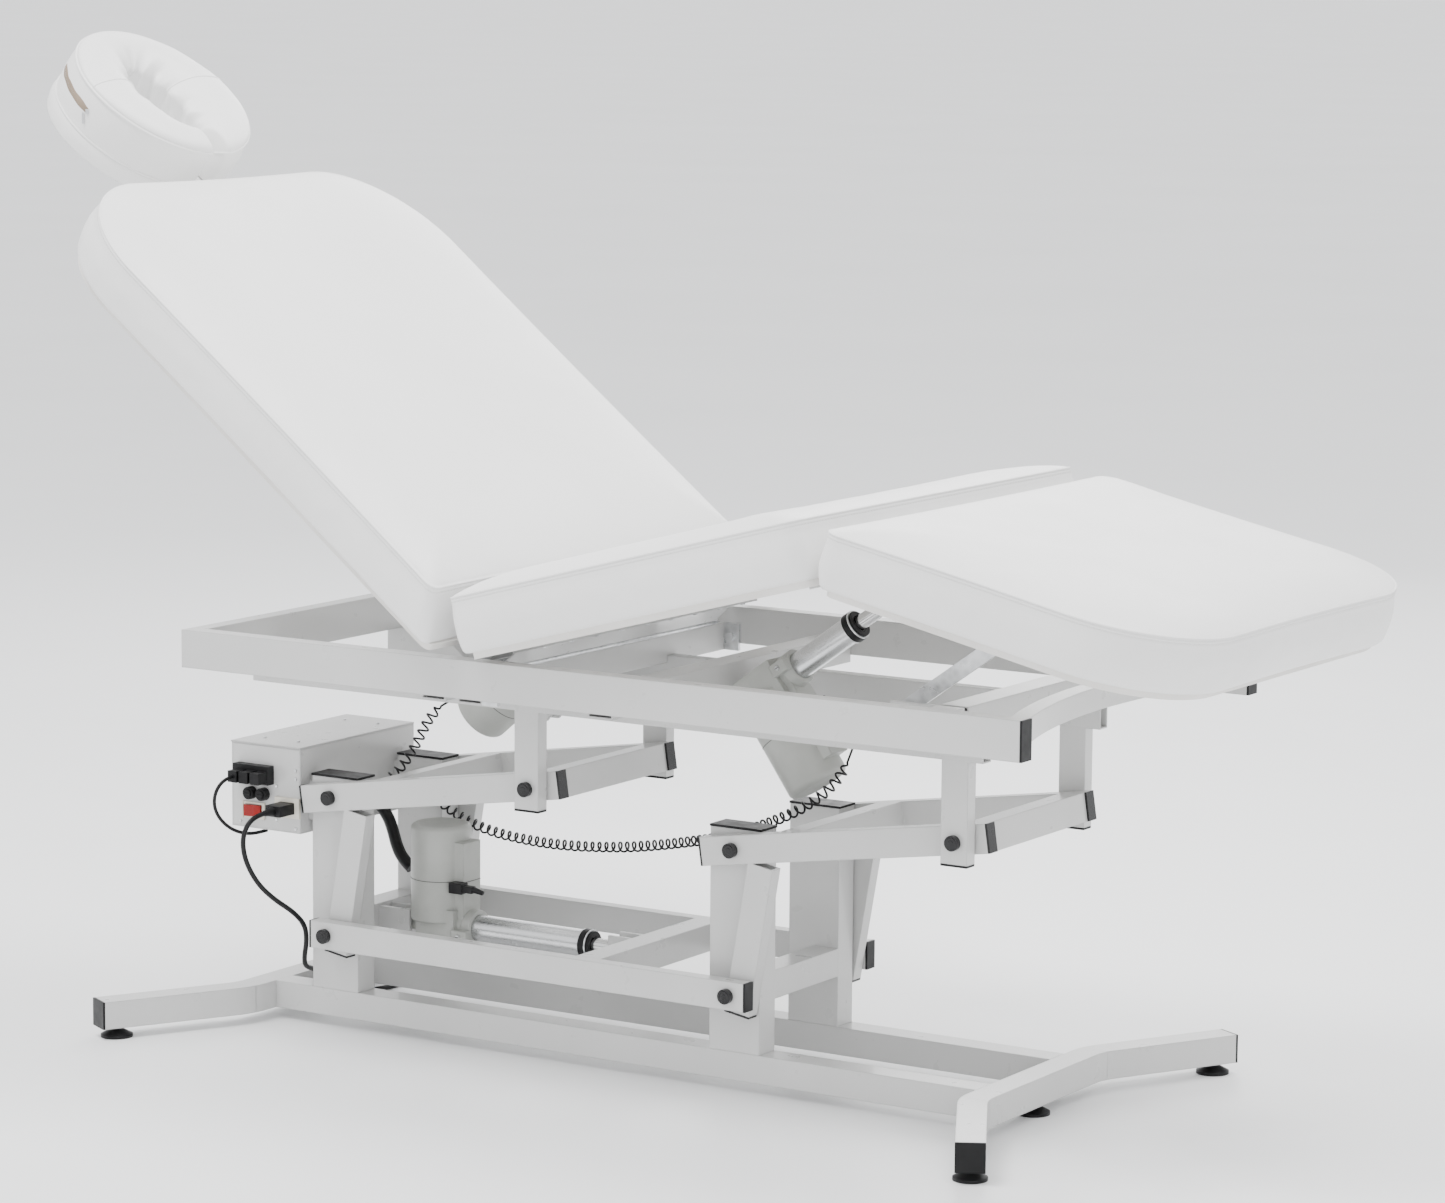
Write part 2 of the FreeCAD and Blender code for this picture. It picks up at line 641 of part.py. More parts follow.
def in_section(point, tilt, corner):
    # where a point in X and Z lies along a section and above its seam plane
    a = math.radians(tilt)
    dx = point[0] - corner[0]
    dz = point[1] - corner[1]
    return dx * math.cos(a) - dz * math.sin(a), dx * math.sin(a) + dz * math.cos(a)


def lugs_down(pin, tilt, corner, thick):
    # a pair of ears under a board that straddle a rod eye, with a short bolt in each
    u, w = in_section(pin, tilt, corner)
    ear = fuse(block((u - EAR_R, u + EAR_R), LUG_Y, (w, -thick)), [pin_y(u, w, LUG_Y[0], LUG_Y[1], EAR_R)])
    ear = ear.cut(pin_y(u, w, 0, POST_IN, PIN_R))
    stub = pin_y(u, w, LUG_Y[0], LUG_Y[1] + 1, PIN_R)
    head = pin_y(u, w, LUG_Y[1] + 1, LUG_Y[1] + HEAD_H, HEAD_R - 1)
    return [turned(p, corner, tilt) for p in both_sides(ear) + both_sides(fuse(stub, [head]))]


def back_frame():
    parts = lugs_down(BACK_ROD, BACK_TILT, BACK_HIP, BACK_THICK)
    low = -BACK_THICK
    sleeve_x = (-BACK_LEN + 20, -BACK_LEN + 180)
    for y in (-STEM_Y, STEM_Y):
        sleeve = block(sleeve_x, (y - SLEEVE, y + SLEEVE), (STEM_W - SLEEVE, low))
        bore = Part.makeCylinder(STEM_R + FIT, 200, V(-BACK_LEN, y, STEM_W), V(1, 0, 0))
        parts.append(turned(sleeve.cut(bore), BACK_HIP, BACK_TILT))
    u, w = in_section(BACK_HINGE, BACK_TILT, BACK_HIP)
    y = (-HINGE_HALF + 10, HINGE_HALF - 10)
    strap = block((BACK_BEVEL - 60, BACK_BEVEL - 8), y, (low - LEAF, low))
    arm = block((BACK_BEVEL - 30, u - 3), y, (w + 1, low - LEAF))
    parts.append(turned(fuse(strap, [arm]), BACK_HIP, BACK_TILT))
    return group(parts)


def seat_cushion():
    body = pad((0.0, SEAT_LEN), SQUARE_CORNER, SQUARE_CORNER, -SEAT_THICK + BOARD, CROWN, SOFTEN)
    return turned(body, SEAT_HEAD, SEAT_TILT)


def seat_board():
    return turned(inset_board((6.0, SEAT_LEN - 8.0), 16.0, 16.0, SEAT_THICK), SEAT_HEAD, SEAT_TILT)


def seat_frame():
    # each long hinge has a leaf on the board and a slanted leaf that reaches towards its pin
    parts = lugs_down(SEAT_ROD, SEAT_TILT, SEAT_HEAD, SEAT_THICK)
    low = -SEAT_THICK
    y = (-HINGE_HALF + 10, HINGE_HALF - 10)
    parts.append(turned(block((10, 60), y, (low - LEAF, low)), SEAT_HEAD, SEAT_TILT))
    u, w = in_section(SEAT_HINGE, SEAT_TILT, SEAT_HEAD)
    reach = [(u + 2.2, w + 2.9), (u + 4.6, w + 1.5), (13.5, low - LEAF), (10.0, low - LEAF)]
    parts.append(turned(plate(reach, y), SEAT_HEAD, SEAT_TILT))
    u, w = in_section(KNEE_HINGE, SEAT_TILT, SEAT_HEAD)
    knee_leaf = [(u - 63, low), (u - 63, low - 2.5), (u - 23, low - 2.5), (u - 2.2, w), (u - 1.5, w + 2.0),
                 (u - 22, low)]
    knee_pin = pin_y(u, w, -HINGE_HALF, HINGE_HALF, HINGE_PIN_R)
    parts.append(turned(fuse(plate(knee_leaf, (-HINGE_HALF, HINGE_HALF)), [knee_pin]), SEAT_HEAD, SEAT_TILT))
    return group(parts)


def leg_cushion():
    body = pad((KNEE_GAP, LEG_LEN), SQUARE_CORNER, LEG_CORNER, -LEG_THICK + BOARD, CROWN, SOFTEN)
    return turned(body, KNEE_TOP, LEG_TILT)


def leg_board():
    x = (12.0, LEG_LEN - BOARD_INSET)
    return turned(inset_board(x, 16.0, LEG_CORNER - BOARD_INSET, LEG_THICK), KNEE_TOP, LEG_TILT)


def leg_frame():
    u, w = in_section(TIE_LEG, LEG_TILT, KNEE_TOP)
    ear = block((u - 14, u + 14), TIE_LUG_Y, (w - 14, -LEG_THICK))
    ear = ear.cut(pin_y(u, w, 0, TOP_IN, PIN_R))
    pin = pin_y(u, w, TIE_LUG_Y[0] + 0.5, TIE_LUG_Y[1] + 4.0, PIN_R)
    parts = [turned(piece, KNEE_TOP, LEG_TILT) for piece in both_sides(ear) + both_sides(pin)]
    strip = block((12, 42), (-HINGE_HALF, HINGE_HALF), (-LEG_THICK - 2, -LEG_THICK))
    parts.append(turned(strip, KNEE_TOP, LEG_TILT))
    return group(parts)


def leg_ties():
    run, tilt = along(TIE_FIXED, TIE_LEG)
    y = (TIE_Y, TIE_Y + TIE_T)
    bar = block((0, run), y, (-10, 10))
    ends = [Part.makeCylinder(10, TIE_T, V(s, y[0], 0), Y_AXIS) for s in (0, run)]
    bar = fuse(bar, ends)
    bar = bar.cut(Part.makeCylinder(PIN_R + FIT, 20, V(0, y[0] - 5, 0), Y_AXIS))
    bar = bar.cut(Part.makeCylinder(PIN_R + OPEN_FIT, 20, V(run, y[0] - 5, 0), Y_AXIS))
    return group(both_sides(turned(bar, TIE_FIXED, tilt)))


# ---- head support ----
def horseshoe(inset, low, high, soften):
    # the open end of the horseshoe faces the back
    centre = -(CRADLE_START + CRADLE_A)
    outer = Part.Ellipse(V(centre, 0, 0), CRADLE_B - inset, CRADLE_A - inset)
    ring = Part.Face(Part.Wire(outer.toShape())).extrude(V(0, 0, high - low))
    ring.rotate(V(centre, 0, 0), V(0, 0, 1), 90.0)
    hole = Part.Ellipse(V(centre, 0, 0), CRADLE_HOLE_A + inset, CRADLE_HOLE_B + inset)
    core = Part.Face(Part.Wire(hole.toShape())).extrude(V(0, 0, high - low))
    slot = block((centre, -CRADLE_START + 20), (-CRADLE_SLOT - inset, CRADLE_SLOT + inset), (0, high - low))
    body = ring.cut(core).cut(slot)
    if soften:
        rim = [e for e in body.Edges if e.BoundBox.ZMin > high - low - 0.01]
        body = body.makeFillet(soften, rim)
    body.translate(V(0, 0, low))
    return turned(body, BACK_HIP, BACK_TILT)


def cradle_cushion():
    return horseshoe(0.0, CRADLE_SPLIT, CRADLE_TOP + 12.0, 10.0)


def cradle_base_pad():
    return horseshoe(2.0, CRADLE_BOTTOM, CRADLE_SPLIT, 0.0)


def cradle_plate():
    plate = horseshoe(10.0, CRADLE_BOTTOM - CRADLE_PLATE, CRADLE_BOTTOM, 0.0)
    parts = [plate]
    for y in (-STEM_Y, STEM_Y):
        ear = block((-TILT_S - 35, -TILT_S + 11), (y + 4, y + 9), (TILT_W - 9, CRADLE_BOTTOM - CRADLE_PLATE))
        ear = ear.cut(pin_y(-TILT_S, TILT_W, y - 10, y + 20, TILT_PIN_R + FIT))
        parts.append(turned(ear, BACK_HIP, BACK_TILT))
    return group(parts)


def head_stem():
    parts = []
    for y in (-STEM_Y, STEM_Y):
        rod = Part.makeCylinder(STEM_R, STEM_LEN, V(-TILT_S + 4, y, STEM_W), V(1, 0, 0))
        knuckle = block((-TILT_S - 9, -TILT_S + 9), (y - 4, y + 3.5), (STEM_W, TILT_W + 7))
        pin = pin_y(-TILT_S, TILT_W, y - 3, y + 15, TILT_PIN_R)
        parts.append(turned(fuse(rod, [knuckle, pin]), BACK_HIP, BACK_TILT))
    knob = pin_y(-TILT_S, TILT_W, STEM_Y + 15, STEM_Y + 31, KNOB_R)
    parts.append(turned(knob, BACK_HIP, BACK_TILT))
    return group(parts)


# ---- drives ----
def on_drive(shapes, rear, rod):
    tilt = along(rear, rod)[1]
    return [turned(s, rear, tilt) for s in shapes]


def motor_body(length, side):
    # the motor stands square to the drive's axis; side is +1 above the axis and -1 below it
    shell = Part.makeCylinder(MOTOR_R, length - BODY_ROUND, V(MOTOR_AT, 0, side * BODY_ROUND), V(0, 0, side))
    far = [e for e in shell.Edges if abs(abs(e.BoundBox.ZMin) - length) < 0.1 and e.BoundBox.ZLength < 0.1]
    shell = shell.makeFillet(BODY_ROUND, far)
    z = sorted((side * BODY_ROUND, side * (length - 22)))
    flat = block((MOTOR_AT, MOTOR_AT + MOTOR_R + 10), (-20, 20), z)
    return fuse(shell, [flat])


def drive_housing(rear, rod, motor_len, side):
    run = along(rear, rod)[0]
    gear = block((GEAR_START, NOSE_END - 10), (-GEAR_HALF_Y, GEAR_HALF_Y), (-GEAR_HALF_Z, GEAR_HALF_Z))
    nose = Part.makeCylinder(NOSE_R, 20, V(NOSE_END - 10, 0, 0), V(1, 0, 0))
    ear = block((0, GEAR_START), (-EYE_W / 2, EYE_W / 2), (-EYE_R, EYE_R))
    ear_end = Part.makeCylinder(EYE_R, EYE_W, V(0, -EYE_W / 2, 0), Y_AXIS)
    body = fuse(gear, [motor_body(motor_len, side), nose, ear, ear_end])
    body = body.cut(Part.makeCylinder(PIN_R + FIT, 60, V(0, -30, 0), Y_AXIS))
    socket = Part.makeCylinder(DRIVE_TUBE_R, run, V(NOSE_END, 0, 0), V(1, 0, 0))
    screw_space = Part.makeCylinder(DRIVE_ROD_R + 1.0, run, V(48, 0, 0), V(1, 0, 0))
    body = body.cut(socket).cut(screw_space)
    return group(on_drive([body], rear, rod))


def drive_tube(rear, rod, length):
    start = NOSE_END
    outer = Part.makeCylinder(DRIVE_TUBE_R, length, V(start, 0, 0), V(1, 0, 0))
    inner = Part.makeCylinder(DRIVE_ROD_R + FIT, length, V(start, 0, 0), V(1, 0, 0))
    ring = Part.makeCylinder(DRIVE_TUBE_R + 2.5, RING_LEN, V(start + length, 0, 0), V(1, 0, 0))
    ring_bore = Part.makeCylinder(DRIVE_ROD_R + FIT, RING_LEN, V(start + length, 0, 0), V(1, 0, 0))
    return group(on_drive([outer.cut(inner), ring.cut(ring_bore)], rear, rod))


def drive_rod(rear, rod, inside):
    run = along(rear, rod)[0]
    bar = Part.makeCylinder(DRIVE_ROD_R, run - EYE_R - inside, V(inside, 0, 0), V(1, 0, 0))
    eye = Part.makeCylinder(EYE_R, EYE_W, V(run, -EYE_W / 2, 0), Y_AXIS)
    neck = block((run - EYE_R - 4, run), (-EYE_W / 2, EYE_W / 2), (-EYE_R + 3, EYE_R - 3))
    eye = fuse(eye, [neck])
    eye = eye.cut(Part.makeCylinder(PIN_R + 1, 60, V(run, -30, 0), Y_AXIS))
    return group(on_drive([fuse(bar, [eye])], rear, rod))


# ---- control box ----
def control_box():
    x = BOX_X
    y = (-BOX_Y, BOX_Y)
    z = (BOX_Z[0], BOX_Z[1] - 2.0)
    shell = block(x, y, z)
    inner = block((x[0] + SHEET, x[1] - SHEET), (y[0] + SHEET, y[1] - SHEET), (z[0] + SHEET, z[1] + 1))
    bracket = block((x[1], -POST_PITCH), (POST_IN + 5.0, POST_OUT - 5.0), BRACKET_Z)
    return group([shell.cut(inner)] + both_sides(bracket))


def control_box_cover():
    return block((BOX_X[0] - 1, BOX_X[1]), (-BOX_Y - 1, BOX_Y + 1), (BOX_Z[1] - 2.0, BOX_Z[1]))


def plug_block():
    face = -BOX_Y
    parts = [block(PLUG_BLOCK_X, (face - PLUG_BASE, face), PLUG_BLOCK_Z)]
    for i in range(3):
        x = PLUG_X + i * PLUG_PITCH
        parts.append(block((x, x + PLUG_W), (face - PLUG_REACH, face - PLUG_BASE), PLUG_Z))
    return group(parts)


def panel_fittings():
    face = -BOX_Y
    parts = []
    for x in FUSE_X:
        parts.append(pin_y(x, FUSE_Z, face - FUSE_H, face, FUSE_R))
    bezel = block(BEZEL_X, (face - RIM, face), BEZEL_Z)
    window_z = (BEZEL_Z[0] + RIM, BEZEL_Z[1] - RIM)
    window = block((BEZEL_X[0] + RIM, BEZEL_X[1] - RIM), (face - RIM - 1, face + 1), window_z)
    parts.append(bezel.cut(window))
    inlet = block(INLET_X, (face - 4, face), INLET_Z)
    socket = block((INLET_X[0] + 8, INLET_X[1] - 8), (face - 5, face - 1.5), (INLET_Z[0] + 6, INLET_Z[1] - 6))
    parts.append(inlet.cut(socket))
    return group(parts)


def rocker_switch():
    # a shallow V that rocks about an upright axis, set with its inner end pressed in
    x, y = ROCKER_AT
    low, high = BEZEL_Z[0] + RIM + GAP, BEZEL_Z[1] - RIM - GAP
    shape = [(-ROCKER_HALF, 0.4), (-ROCKER_HALF, -5.0), (0, -3.0), (ROCKER_HALF, -5.0), (ROCKER_HALF, 0.4)]
    corners = [V(x + dx, y + dy, low) for dx, dy in shape]
    rocker = Part.Face(Part.makePolygon(corners + corners[:1])).extrude(V(0, 0, high - low))
    rocker.rotate(V(x, y, 0), V(0, 0, 1), ROCKER_TURN / 2)
    return rocker


# ---- leads ----
SOCKET_X = -681.0
SOCKET_Z = 303.0
MAINS_POINTS = [(-681, -186, 303), (-681, -204, 302), (-684, -218, 294), (-688, -225, 276), (-689, -222, 252),
                (-685, -214, 228), (-676, -202, 204), (-662, -186, 184), (-650, -163, 166), (-646, -141, 144),
                (-652, -130, 118), (-664, -120, 94), (-675, -104, 76), (-682, -78, 67), (-686, -46, 53),
                (-688, -10, 34), (-689, 28, 17), (-691, 64, 8), (-692, 98, 4), (-689, 132, 3.5),
                (-680, 164, 3.5), (-669, 194, 3.5), (-664, 222, 3.5)]
COIL_CENTRE = (-622.0, 232.0)


def mains_connector():
    face = -BOX_Y
    body = block((SOCKET_X - 12.5, SOCKET_X + 12.5), (face - 36, face - 2), (SOCKET_Z - 7.5, SOCKET_Z + 7.5))
    start = V(*MAINS_POINTS[0])
    neck = Part.makeCone(MAINS_R + 0.5, 6.5, face - 36 - start.y, start, Y_AXIS)
    return fuse(body, [neck])


def mains_lead():
    return cord_tube("mains_lead", MAINS_POINTS, MAINS_R)


def mains_coil():
    centre = V(COIL_CENTRE[0], COIL_CENTRE[1], 0)
    outer = Part.makeCylinder(COIL_R, COIL_H, centre)
    inner = Part.makeCylinder(COIL_R - COIL_BAND, COIL_H, centre)
    return outer.cut(inner)


def mains_wall_plug():
    x = COIL_CENTRE[0] - COIL_R + 11.0
    y = COIL_CENTRE[1] + COIL_R + 3.0
    tip = y + 26
    body = block((x - 20, x + 20), (y, tip), (0.0, 28.0))
    pins = []
    for pin_x in (x - 6.5, x + 6.5):
        pins.append(block((pin_x - 3, pin_x + 3), (tip, tip + 17), (13, 14.6)))
    return fuse(body, pins)


CONTROL_POINTS = [(-752.5, -166, 344), (-754, -182, 342), (-760, -192, 328), (-766, -190, 308), (-766, -180, 288),
                  (-760, -164, 271), (-752, -144, 261), (-746, -122, 258), (-742, -102, 260)]


def control_lead():
    return cord_tube("control_lead", CONTROL_POINTS, 2.5)


CONDUIT_R = 8.5
CONDUIT_POINTS = [(-655, 20, 300), (-641, 20, 293), (-622, 19, 274), (-612, 17, 255), (-604, 14, 236),
             (-592, 12, 218), (-576, 11, 207)]


LEG_CORD = [(-603, 62, 326.5), (-584, 62, 312), (-560, 62, 292), (-520, 61, 273), (-470, 58, 262),
            (-410, 53, 258), (-348, 46, 259), (-286, 40, 264), (-224, 33, 272), (-162, 24, 284),
            (-102, 12, 298), (-46, -12, 312), (4, -34, 330), (52, -50, 350), (98, -54, 372),
            (132, -42, 398), (146, -20, 426), (147, -2, 456)]
BACK_CORD = [(-603, -52, 326.5), (-583, -50, 334), (-562, -45, 350), (-546, -38, 372), (-535, -28, 398),
             (-527, -18, 424), (-512, -9, 446), (-490, -2, 458)]
CLIP_R = 8.0


def cord_clips():
    # the coiled leads leave the head posts on the lift's own axis, so they hardly move there
    parts = []
    for y in (LEG_CORD[0][1] + 10.0, BACK_CORD[0][1] - 10.0):
        out = 1 if y > 0 else -1
        span = sorted((y, out * POST_IN))
        parts.append(pin_y(TOP_PIVOT[0] - POST_PITCH, TOP_PIVOT[1], span[0], span[1], CLIP_R))
    return parts


def build():
    shift = -POST_PITCH
    nodes = {
        "base_rails": base_rails(),
        "cross_feet": cross_feet(),
        "posts": posts(),
        "base_plugs": base_plugs(),
        "post_bolts": post_bolts(),
        "control_box": control_box(),
        "control_box_cover": control_box_cover(),
        "plug_block": plug_block(),
        "panel_fittings": panel_fittings(),
        "rocker_switch": rocker_switch(),
        "mains_connector": mains_connector(),
        "mains_lead": mains_lead(),
        "mains_coil": mains_coil(),
        "mains_wall_plug": mains_wall_plug(),
        "control_lead": control_lead(),
        "motor_conduit": cord_tube("motor_conduit", CONDUIT_POINTS, CONDUIT_R),
        "head_crank": crank(shift),
        "head_crank_fittings": crank_fittings(shift),
        "foot_crank": crank(0.0),
        "foot_crank_fittings": crank_fittings(0.0),
        "link_frame": link_frame(),
        "link_plugs": link_plugs(),
        "upper_rails": upper_rails(),
        "upper_plugs": upper_plugs(),
        "drop_frames": drop_frames(),
        "cross_tubes": cross_tubes(),
        "hinge_hardware": hinge_hardware(),
        "back_cushion": back_cushion(),
        "back_board": back_board(),
        "back_frame": back_frame(),
        "seat_cushion": seat_cushion(),
        "seat_board": seat_board(),
        "seat_frame": seat_frame(),
        "leg_cushion": leg_cushion(),
        "leg_board": leg_board(),
        "leg_frame": leg_frame(),
        "leg_ties": leg_ties(),
        "cradle_cushion": cradle_cushion(),
        "cradle_base_pad": cradle_base_pad(),
        "cradle_plate": cradle_plate(),
        "head_stem": head_stem(),
        "leg_curly_cord": cord_tube("leg_curly_cord", LEG_CORD, CURLY_R),
        "back_curly_cord": cord_tube("back_curly_cord", BACK_CORD, CURLY_R),
    }
    for name, rear, rod, motor, side, tube_len, inside in (
            ("lift", LIFT_REAR, LIFT_ROD, 142.0, 1, 187.0, 130.0),
            ("back", BACK_REAR, BACK_ROD, 94.0, 1, 130.0, 140.0),
            ("leg", SEAT_REAR, SEAT_ROD, 146.0, -1, 106.0, 125.0)):
        nodes[name + "_motor"] = drive_housing(rear, rod, motor, side)
        nodes[name + "_drive_tube"] = drive_tube(rear, rod, tube_len)
        nodes[name + "_rod"] = drive_rod(rear, rod, inside)
    for i, (x, y) in enumerate(foot_places()):
        nodes["levelling_foot_%d" % (i + 1)] = levelling_foot(x, y)
    return nodes


def main():
    os.makedirs("parts", exist_ok=True)
    nodes = build()
    span = FreeCAD.BoundBox()
    for name, shape in nodes.items():
        shape.translate(V(-ORIGIN_X, 0, 0))
        if not shape.isValid():
            print("not valid:", name)
        shape.exportStep("parts/" + name + ".step")
        box = shape.optimalBoundingBox()
        if name not in ("mains_lead", "mains_coil", "mains_wall_plug", "mains_connector",
                        "leg_curly_cord", "back_curly_cord", "control_lead", "motor_conduit"):
            span.add(box)
    print(len(nodes), "nodes; box x", round(span.XMin, 1), round(span.XMax, 1), "y", round(span.YMin, 1),
          round(span.YMax, 1), "z", round(span.ZMin, 1), round(span.ZMax, 1))


main()
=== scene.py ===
import json
import math

import bpy
import bmesh
from mathutils import Matrix, Vector, noise


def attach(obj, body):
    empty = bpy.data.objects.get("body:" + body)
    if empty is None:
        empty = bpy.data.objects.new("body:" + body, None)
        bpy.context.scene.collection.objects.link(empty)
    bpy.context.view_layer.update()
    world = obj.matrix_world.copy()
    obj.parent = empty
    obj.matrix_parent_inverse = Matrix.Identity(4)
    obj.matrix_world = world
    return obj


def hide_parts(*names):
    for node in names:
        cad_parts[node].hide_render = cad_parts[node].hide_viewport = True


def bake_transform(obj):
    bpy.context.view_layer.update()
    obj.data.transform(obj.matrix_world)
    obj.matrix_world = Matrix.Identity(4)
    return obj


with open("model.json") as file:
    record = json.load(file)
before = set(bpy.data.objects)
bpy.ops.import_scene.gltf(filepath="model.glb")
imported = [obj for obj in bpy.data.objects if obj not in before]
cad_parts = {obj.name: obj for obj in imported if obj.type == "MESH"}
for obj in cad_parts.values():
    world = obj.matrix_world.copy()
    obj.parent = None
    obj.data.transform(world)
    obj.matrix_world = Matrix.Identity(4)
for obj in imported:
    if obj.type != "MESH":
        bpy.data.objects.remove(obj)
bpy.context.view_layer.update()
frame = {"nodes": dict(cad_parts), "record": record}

MM = 0.001
SHIFT = 179.4            # the CAD layout's x is measured from the foot posts; the frame's from the middle
TAU = 2 * math.pi


def at(x, y, z):
    return Vector(((x + SHIFT) * MM, y * MM, z * MM))


# ---- camera, floor and light ----
EYE = (3263.6, -5253.5, 1515.0)
YAW, PITCH, ROLL = 0.564, -0.142, 0.008
LENS = 118.3
SENSOR = 36.0
WORLD_COLOUR = (0.985, 0.99, 1.0, 1)
WORLD_STRENGTH = 1.62
LAMP_TARGET = (0, 0, 0.6)
LAMPS = [("key", (-1.0, -1.4, 4.4), 1.8, 160.0), ("fill", (4.2, -3.2, 1.6), 2.6, 20.0),
         ("top", (0.8, 1.2, 4.4), 2.2, 130.0), ("rim", (-1.5, 4.0, 2.4), 2.4, 60.0)]
FLOOR_HALF = 90.0


def set_camera():
    yaw, pitch, roll = YAW, PITCH, ROLL
    forward = Vector((-math.sin(yaw) * math.cos(pitch), math.cos(yaw) * math.cos(pitch), math.sin(pitch)))
    level = Vector((math.cos(yaw), math.sin(yaw), 0))
    up = level.cross(forward)
    right = level * math.cos(roll) + up * math.sin(roll)
    top = up * math.cos(roll) - level * math.sin(roll)
    data = bpy.data.cameras.new("camera")
    data.sensor_width = SENSOR
    data.lens = LENS
    data.clip_end = 100.0
    camera = bpy.data.objects.new("camera", data)
    bpy.context.scene.collection.objects.link(camera)
    place = Matrix.Identity(4)
    for row in range(3):
        place[row][0] = right[row]
        place[row][1] = top[row]
        place[row][2] = -forward[row]
    place.translation = at(*EYE)
    camera.matrix_world = place
    bpy.context.scene.camera = camera


def set_light():
    world = bpy.data.worlds.new("studio")
    world.use_nodes = True
    background = world.node_tree.nodes["Background"]
    background.inputs["Color"].default_value = WORLD_COLOUR
    background.inputs["Strength"].default_value = WORLD_STRENGTH
    bpy.context.scene.world = world
    for name, spot, size, power in LAMPS:
        data = bpy.data.lights.new(name, "AREA")
        data.shape = "DISK"
        data.size = size
        data.energy = power
        lamp = bpy.data.objects.new(name, data)
        bpy.context.scene.collection.objects.link(lamp)
        lamp.location = spot
        lamp.rotation_euler = (Vector(LAMP_TARGET) - Vector(spot)).to_track_quat("-Z", "Y").to_euler()


# ---- materials ----
class Shader:
    """A material with a Principled shader, and short ways to add nodes to it."""

    def __init__(self, name):
        self.material = bpy.data.materials.new(name)
        self.material.use_nodes = True
        self.tree = self.material.node_tree
        self.bsdf = self.tree.nodes["Principled BSDF"]

    def node(self, kind, **values):
        made = self.tree.nodes.new(kind)
        for key, value in values.items():
            if hasattr(made, key):
                setattr(made, key, value)
            else:
                made.inputs[key].default_value = value
        return made

    def link(self, a, b):
        self.tree.links.new(a, b)

    def set(self, **values):
        for key, value in values.items():
            self.bsdf.inputs[key.replace("_", " ")].default_value = value

    def coords(self, scale=(1, 1, 1)):
        where = self.node("ShaderNodeTexCoord")
        mapping = self.node("ShaderNodeMapping")
        mapping.inputs["Scale"].default_value = scale
        self.link(where.outputs["Object"], mapping.inputs["Vector"])
        return mapping.outputs["Vector"]

    def noise(self, scale, detail=4.0, rough=0.55, stretch=(1, 1, 1)):
        made = self.node("ShaderNodeTexNoise")
        made.inputs["Scale"].default_value = scale
        made.inputs["Detail"].default_value = detail
        made.inputs["Roughness"].default_value = rough
        self.link(self.coords(stretch), made.inputs["Vector"])
        return made.outputs["Fac"]

    def ramp(self, value, low, high, low_at, high_at):
        made = self.node("ShaderNodeValToRGB")
        made.color_ramp.elements[0].position = low_at
        made.color_ramp.elements[1].position = high_at
        made.color_ramp.elements[0].color = (*low, 1)
        made.color_ramp.elements[1].color = (*high, 1)
        self.link(value, made.inputs["Fac"])
        return made.outputs["Color"]

    def colour(self, value, low, high, low_at=0.3, high_at=0.7):
        self.link(self.ramp(value, low, high, low_at, high_at), self.bsdf.inputs["Base Color"])

    def roughness(self, value, low, high):
        made = self.node("ShaderNodeMapRange")
        made.inputs["From Min"].default_value = 0.3
        made.inputs["From Max"].default_value = 0.7
        made.inputs["To Min"].default_value = low
        made.inputs["To Max"].default_value = high
        self.link(value, made.inputs["Value"])
        self.link(made.outputs["Result"], self.bsdf.inputs["Roughness"])

    def bump(self, layers, edge=0.0):
        last = None
        if edge:
            bevel = self.node("ShaderNodeBevel", samples=4)
            bevel.inputs["Radius"].default_value = edge
            last = bevel.outputs["Normal"]
        for height, strength, distance in layers:
            made = self.node("ShaderNodeBump")
            made.inputs["Strength"].default_value = strength
            made.inputs["Distance"].default_value = distance
            self.link(height, made.inputs["Height"])
            if last is not None:
                self.link(last, made.inputs["Normal"])
            last = made.outputs["Normal"]
        self.link(last, self.bsdf.inputs["Normal"])


def powder_coat(name, edge):
    s = Shader(name)
    s.set(Specular_IOR_Level=0.5, Coat_Weight=0.3, Coat_Roughness=0.10)
    s.colour(s.noise(5.0, 5), (0.53, 0.53, 0.524), (0.575, 0.575, 0.569))
    s.roughness(s.noise(30.0, 4), 0.27, 0.32)
    s.bump([(s.noise(420.0, 2), 0.10, 0.0004), (s.noise(9.0, 2), 0.03, 0.001)], edge=edge)
    return s.material


def vinyl():
    s = Shader("white_vinyl")
    s.set(Specular_IOR_Level=0.45, Sheen_Weight=0.08, Sheen_Roughness=0.4)
    s.set(Coat_Weight=0.10, Coat_Roughness=0.35)
    s.colour(s.noise(3.0, 5), (0.82, 0.818, 0.810), (0.87, 0.868, 0.861))
    s.roughness(s.noise(14.0, 4), 0.38, 0.48)
    grain = s.node("ShaderNodeTexVoronoi", feature="DISTANCE_TO_EDGE")
    grain.inputs["Scale"].default_value = 620.0
    s.link(s.coords(), grain.inputs["Vector"])
    s.bump([(grain.outputs["Distance"], 0.14, 0.0004), (s.noise(260.0, 4), 0.10, 0.0004),
            (s.noise(11.0, 3), 0.22, 0.005)])
    return s.material


def thread():
    s = Shader("stitch_thread")
    s.colour(s.noise(800.0), (0.76, 0.755, 0.74), (0.84, 0.835, 0.82))
    s.set(Roughness=0.7)
    s.bump([(s.noise(2500.0), 0.4, 0.0002)])
    return s.material


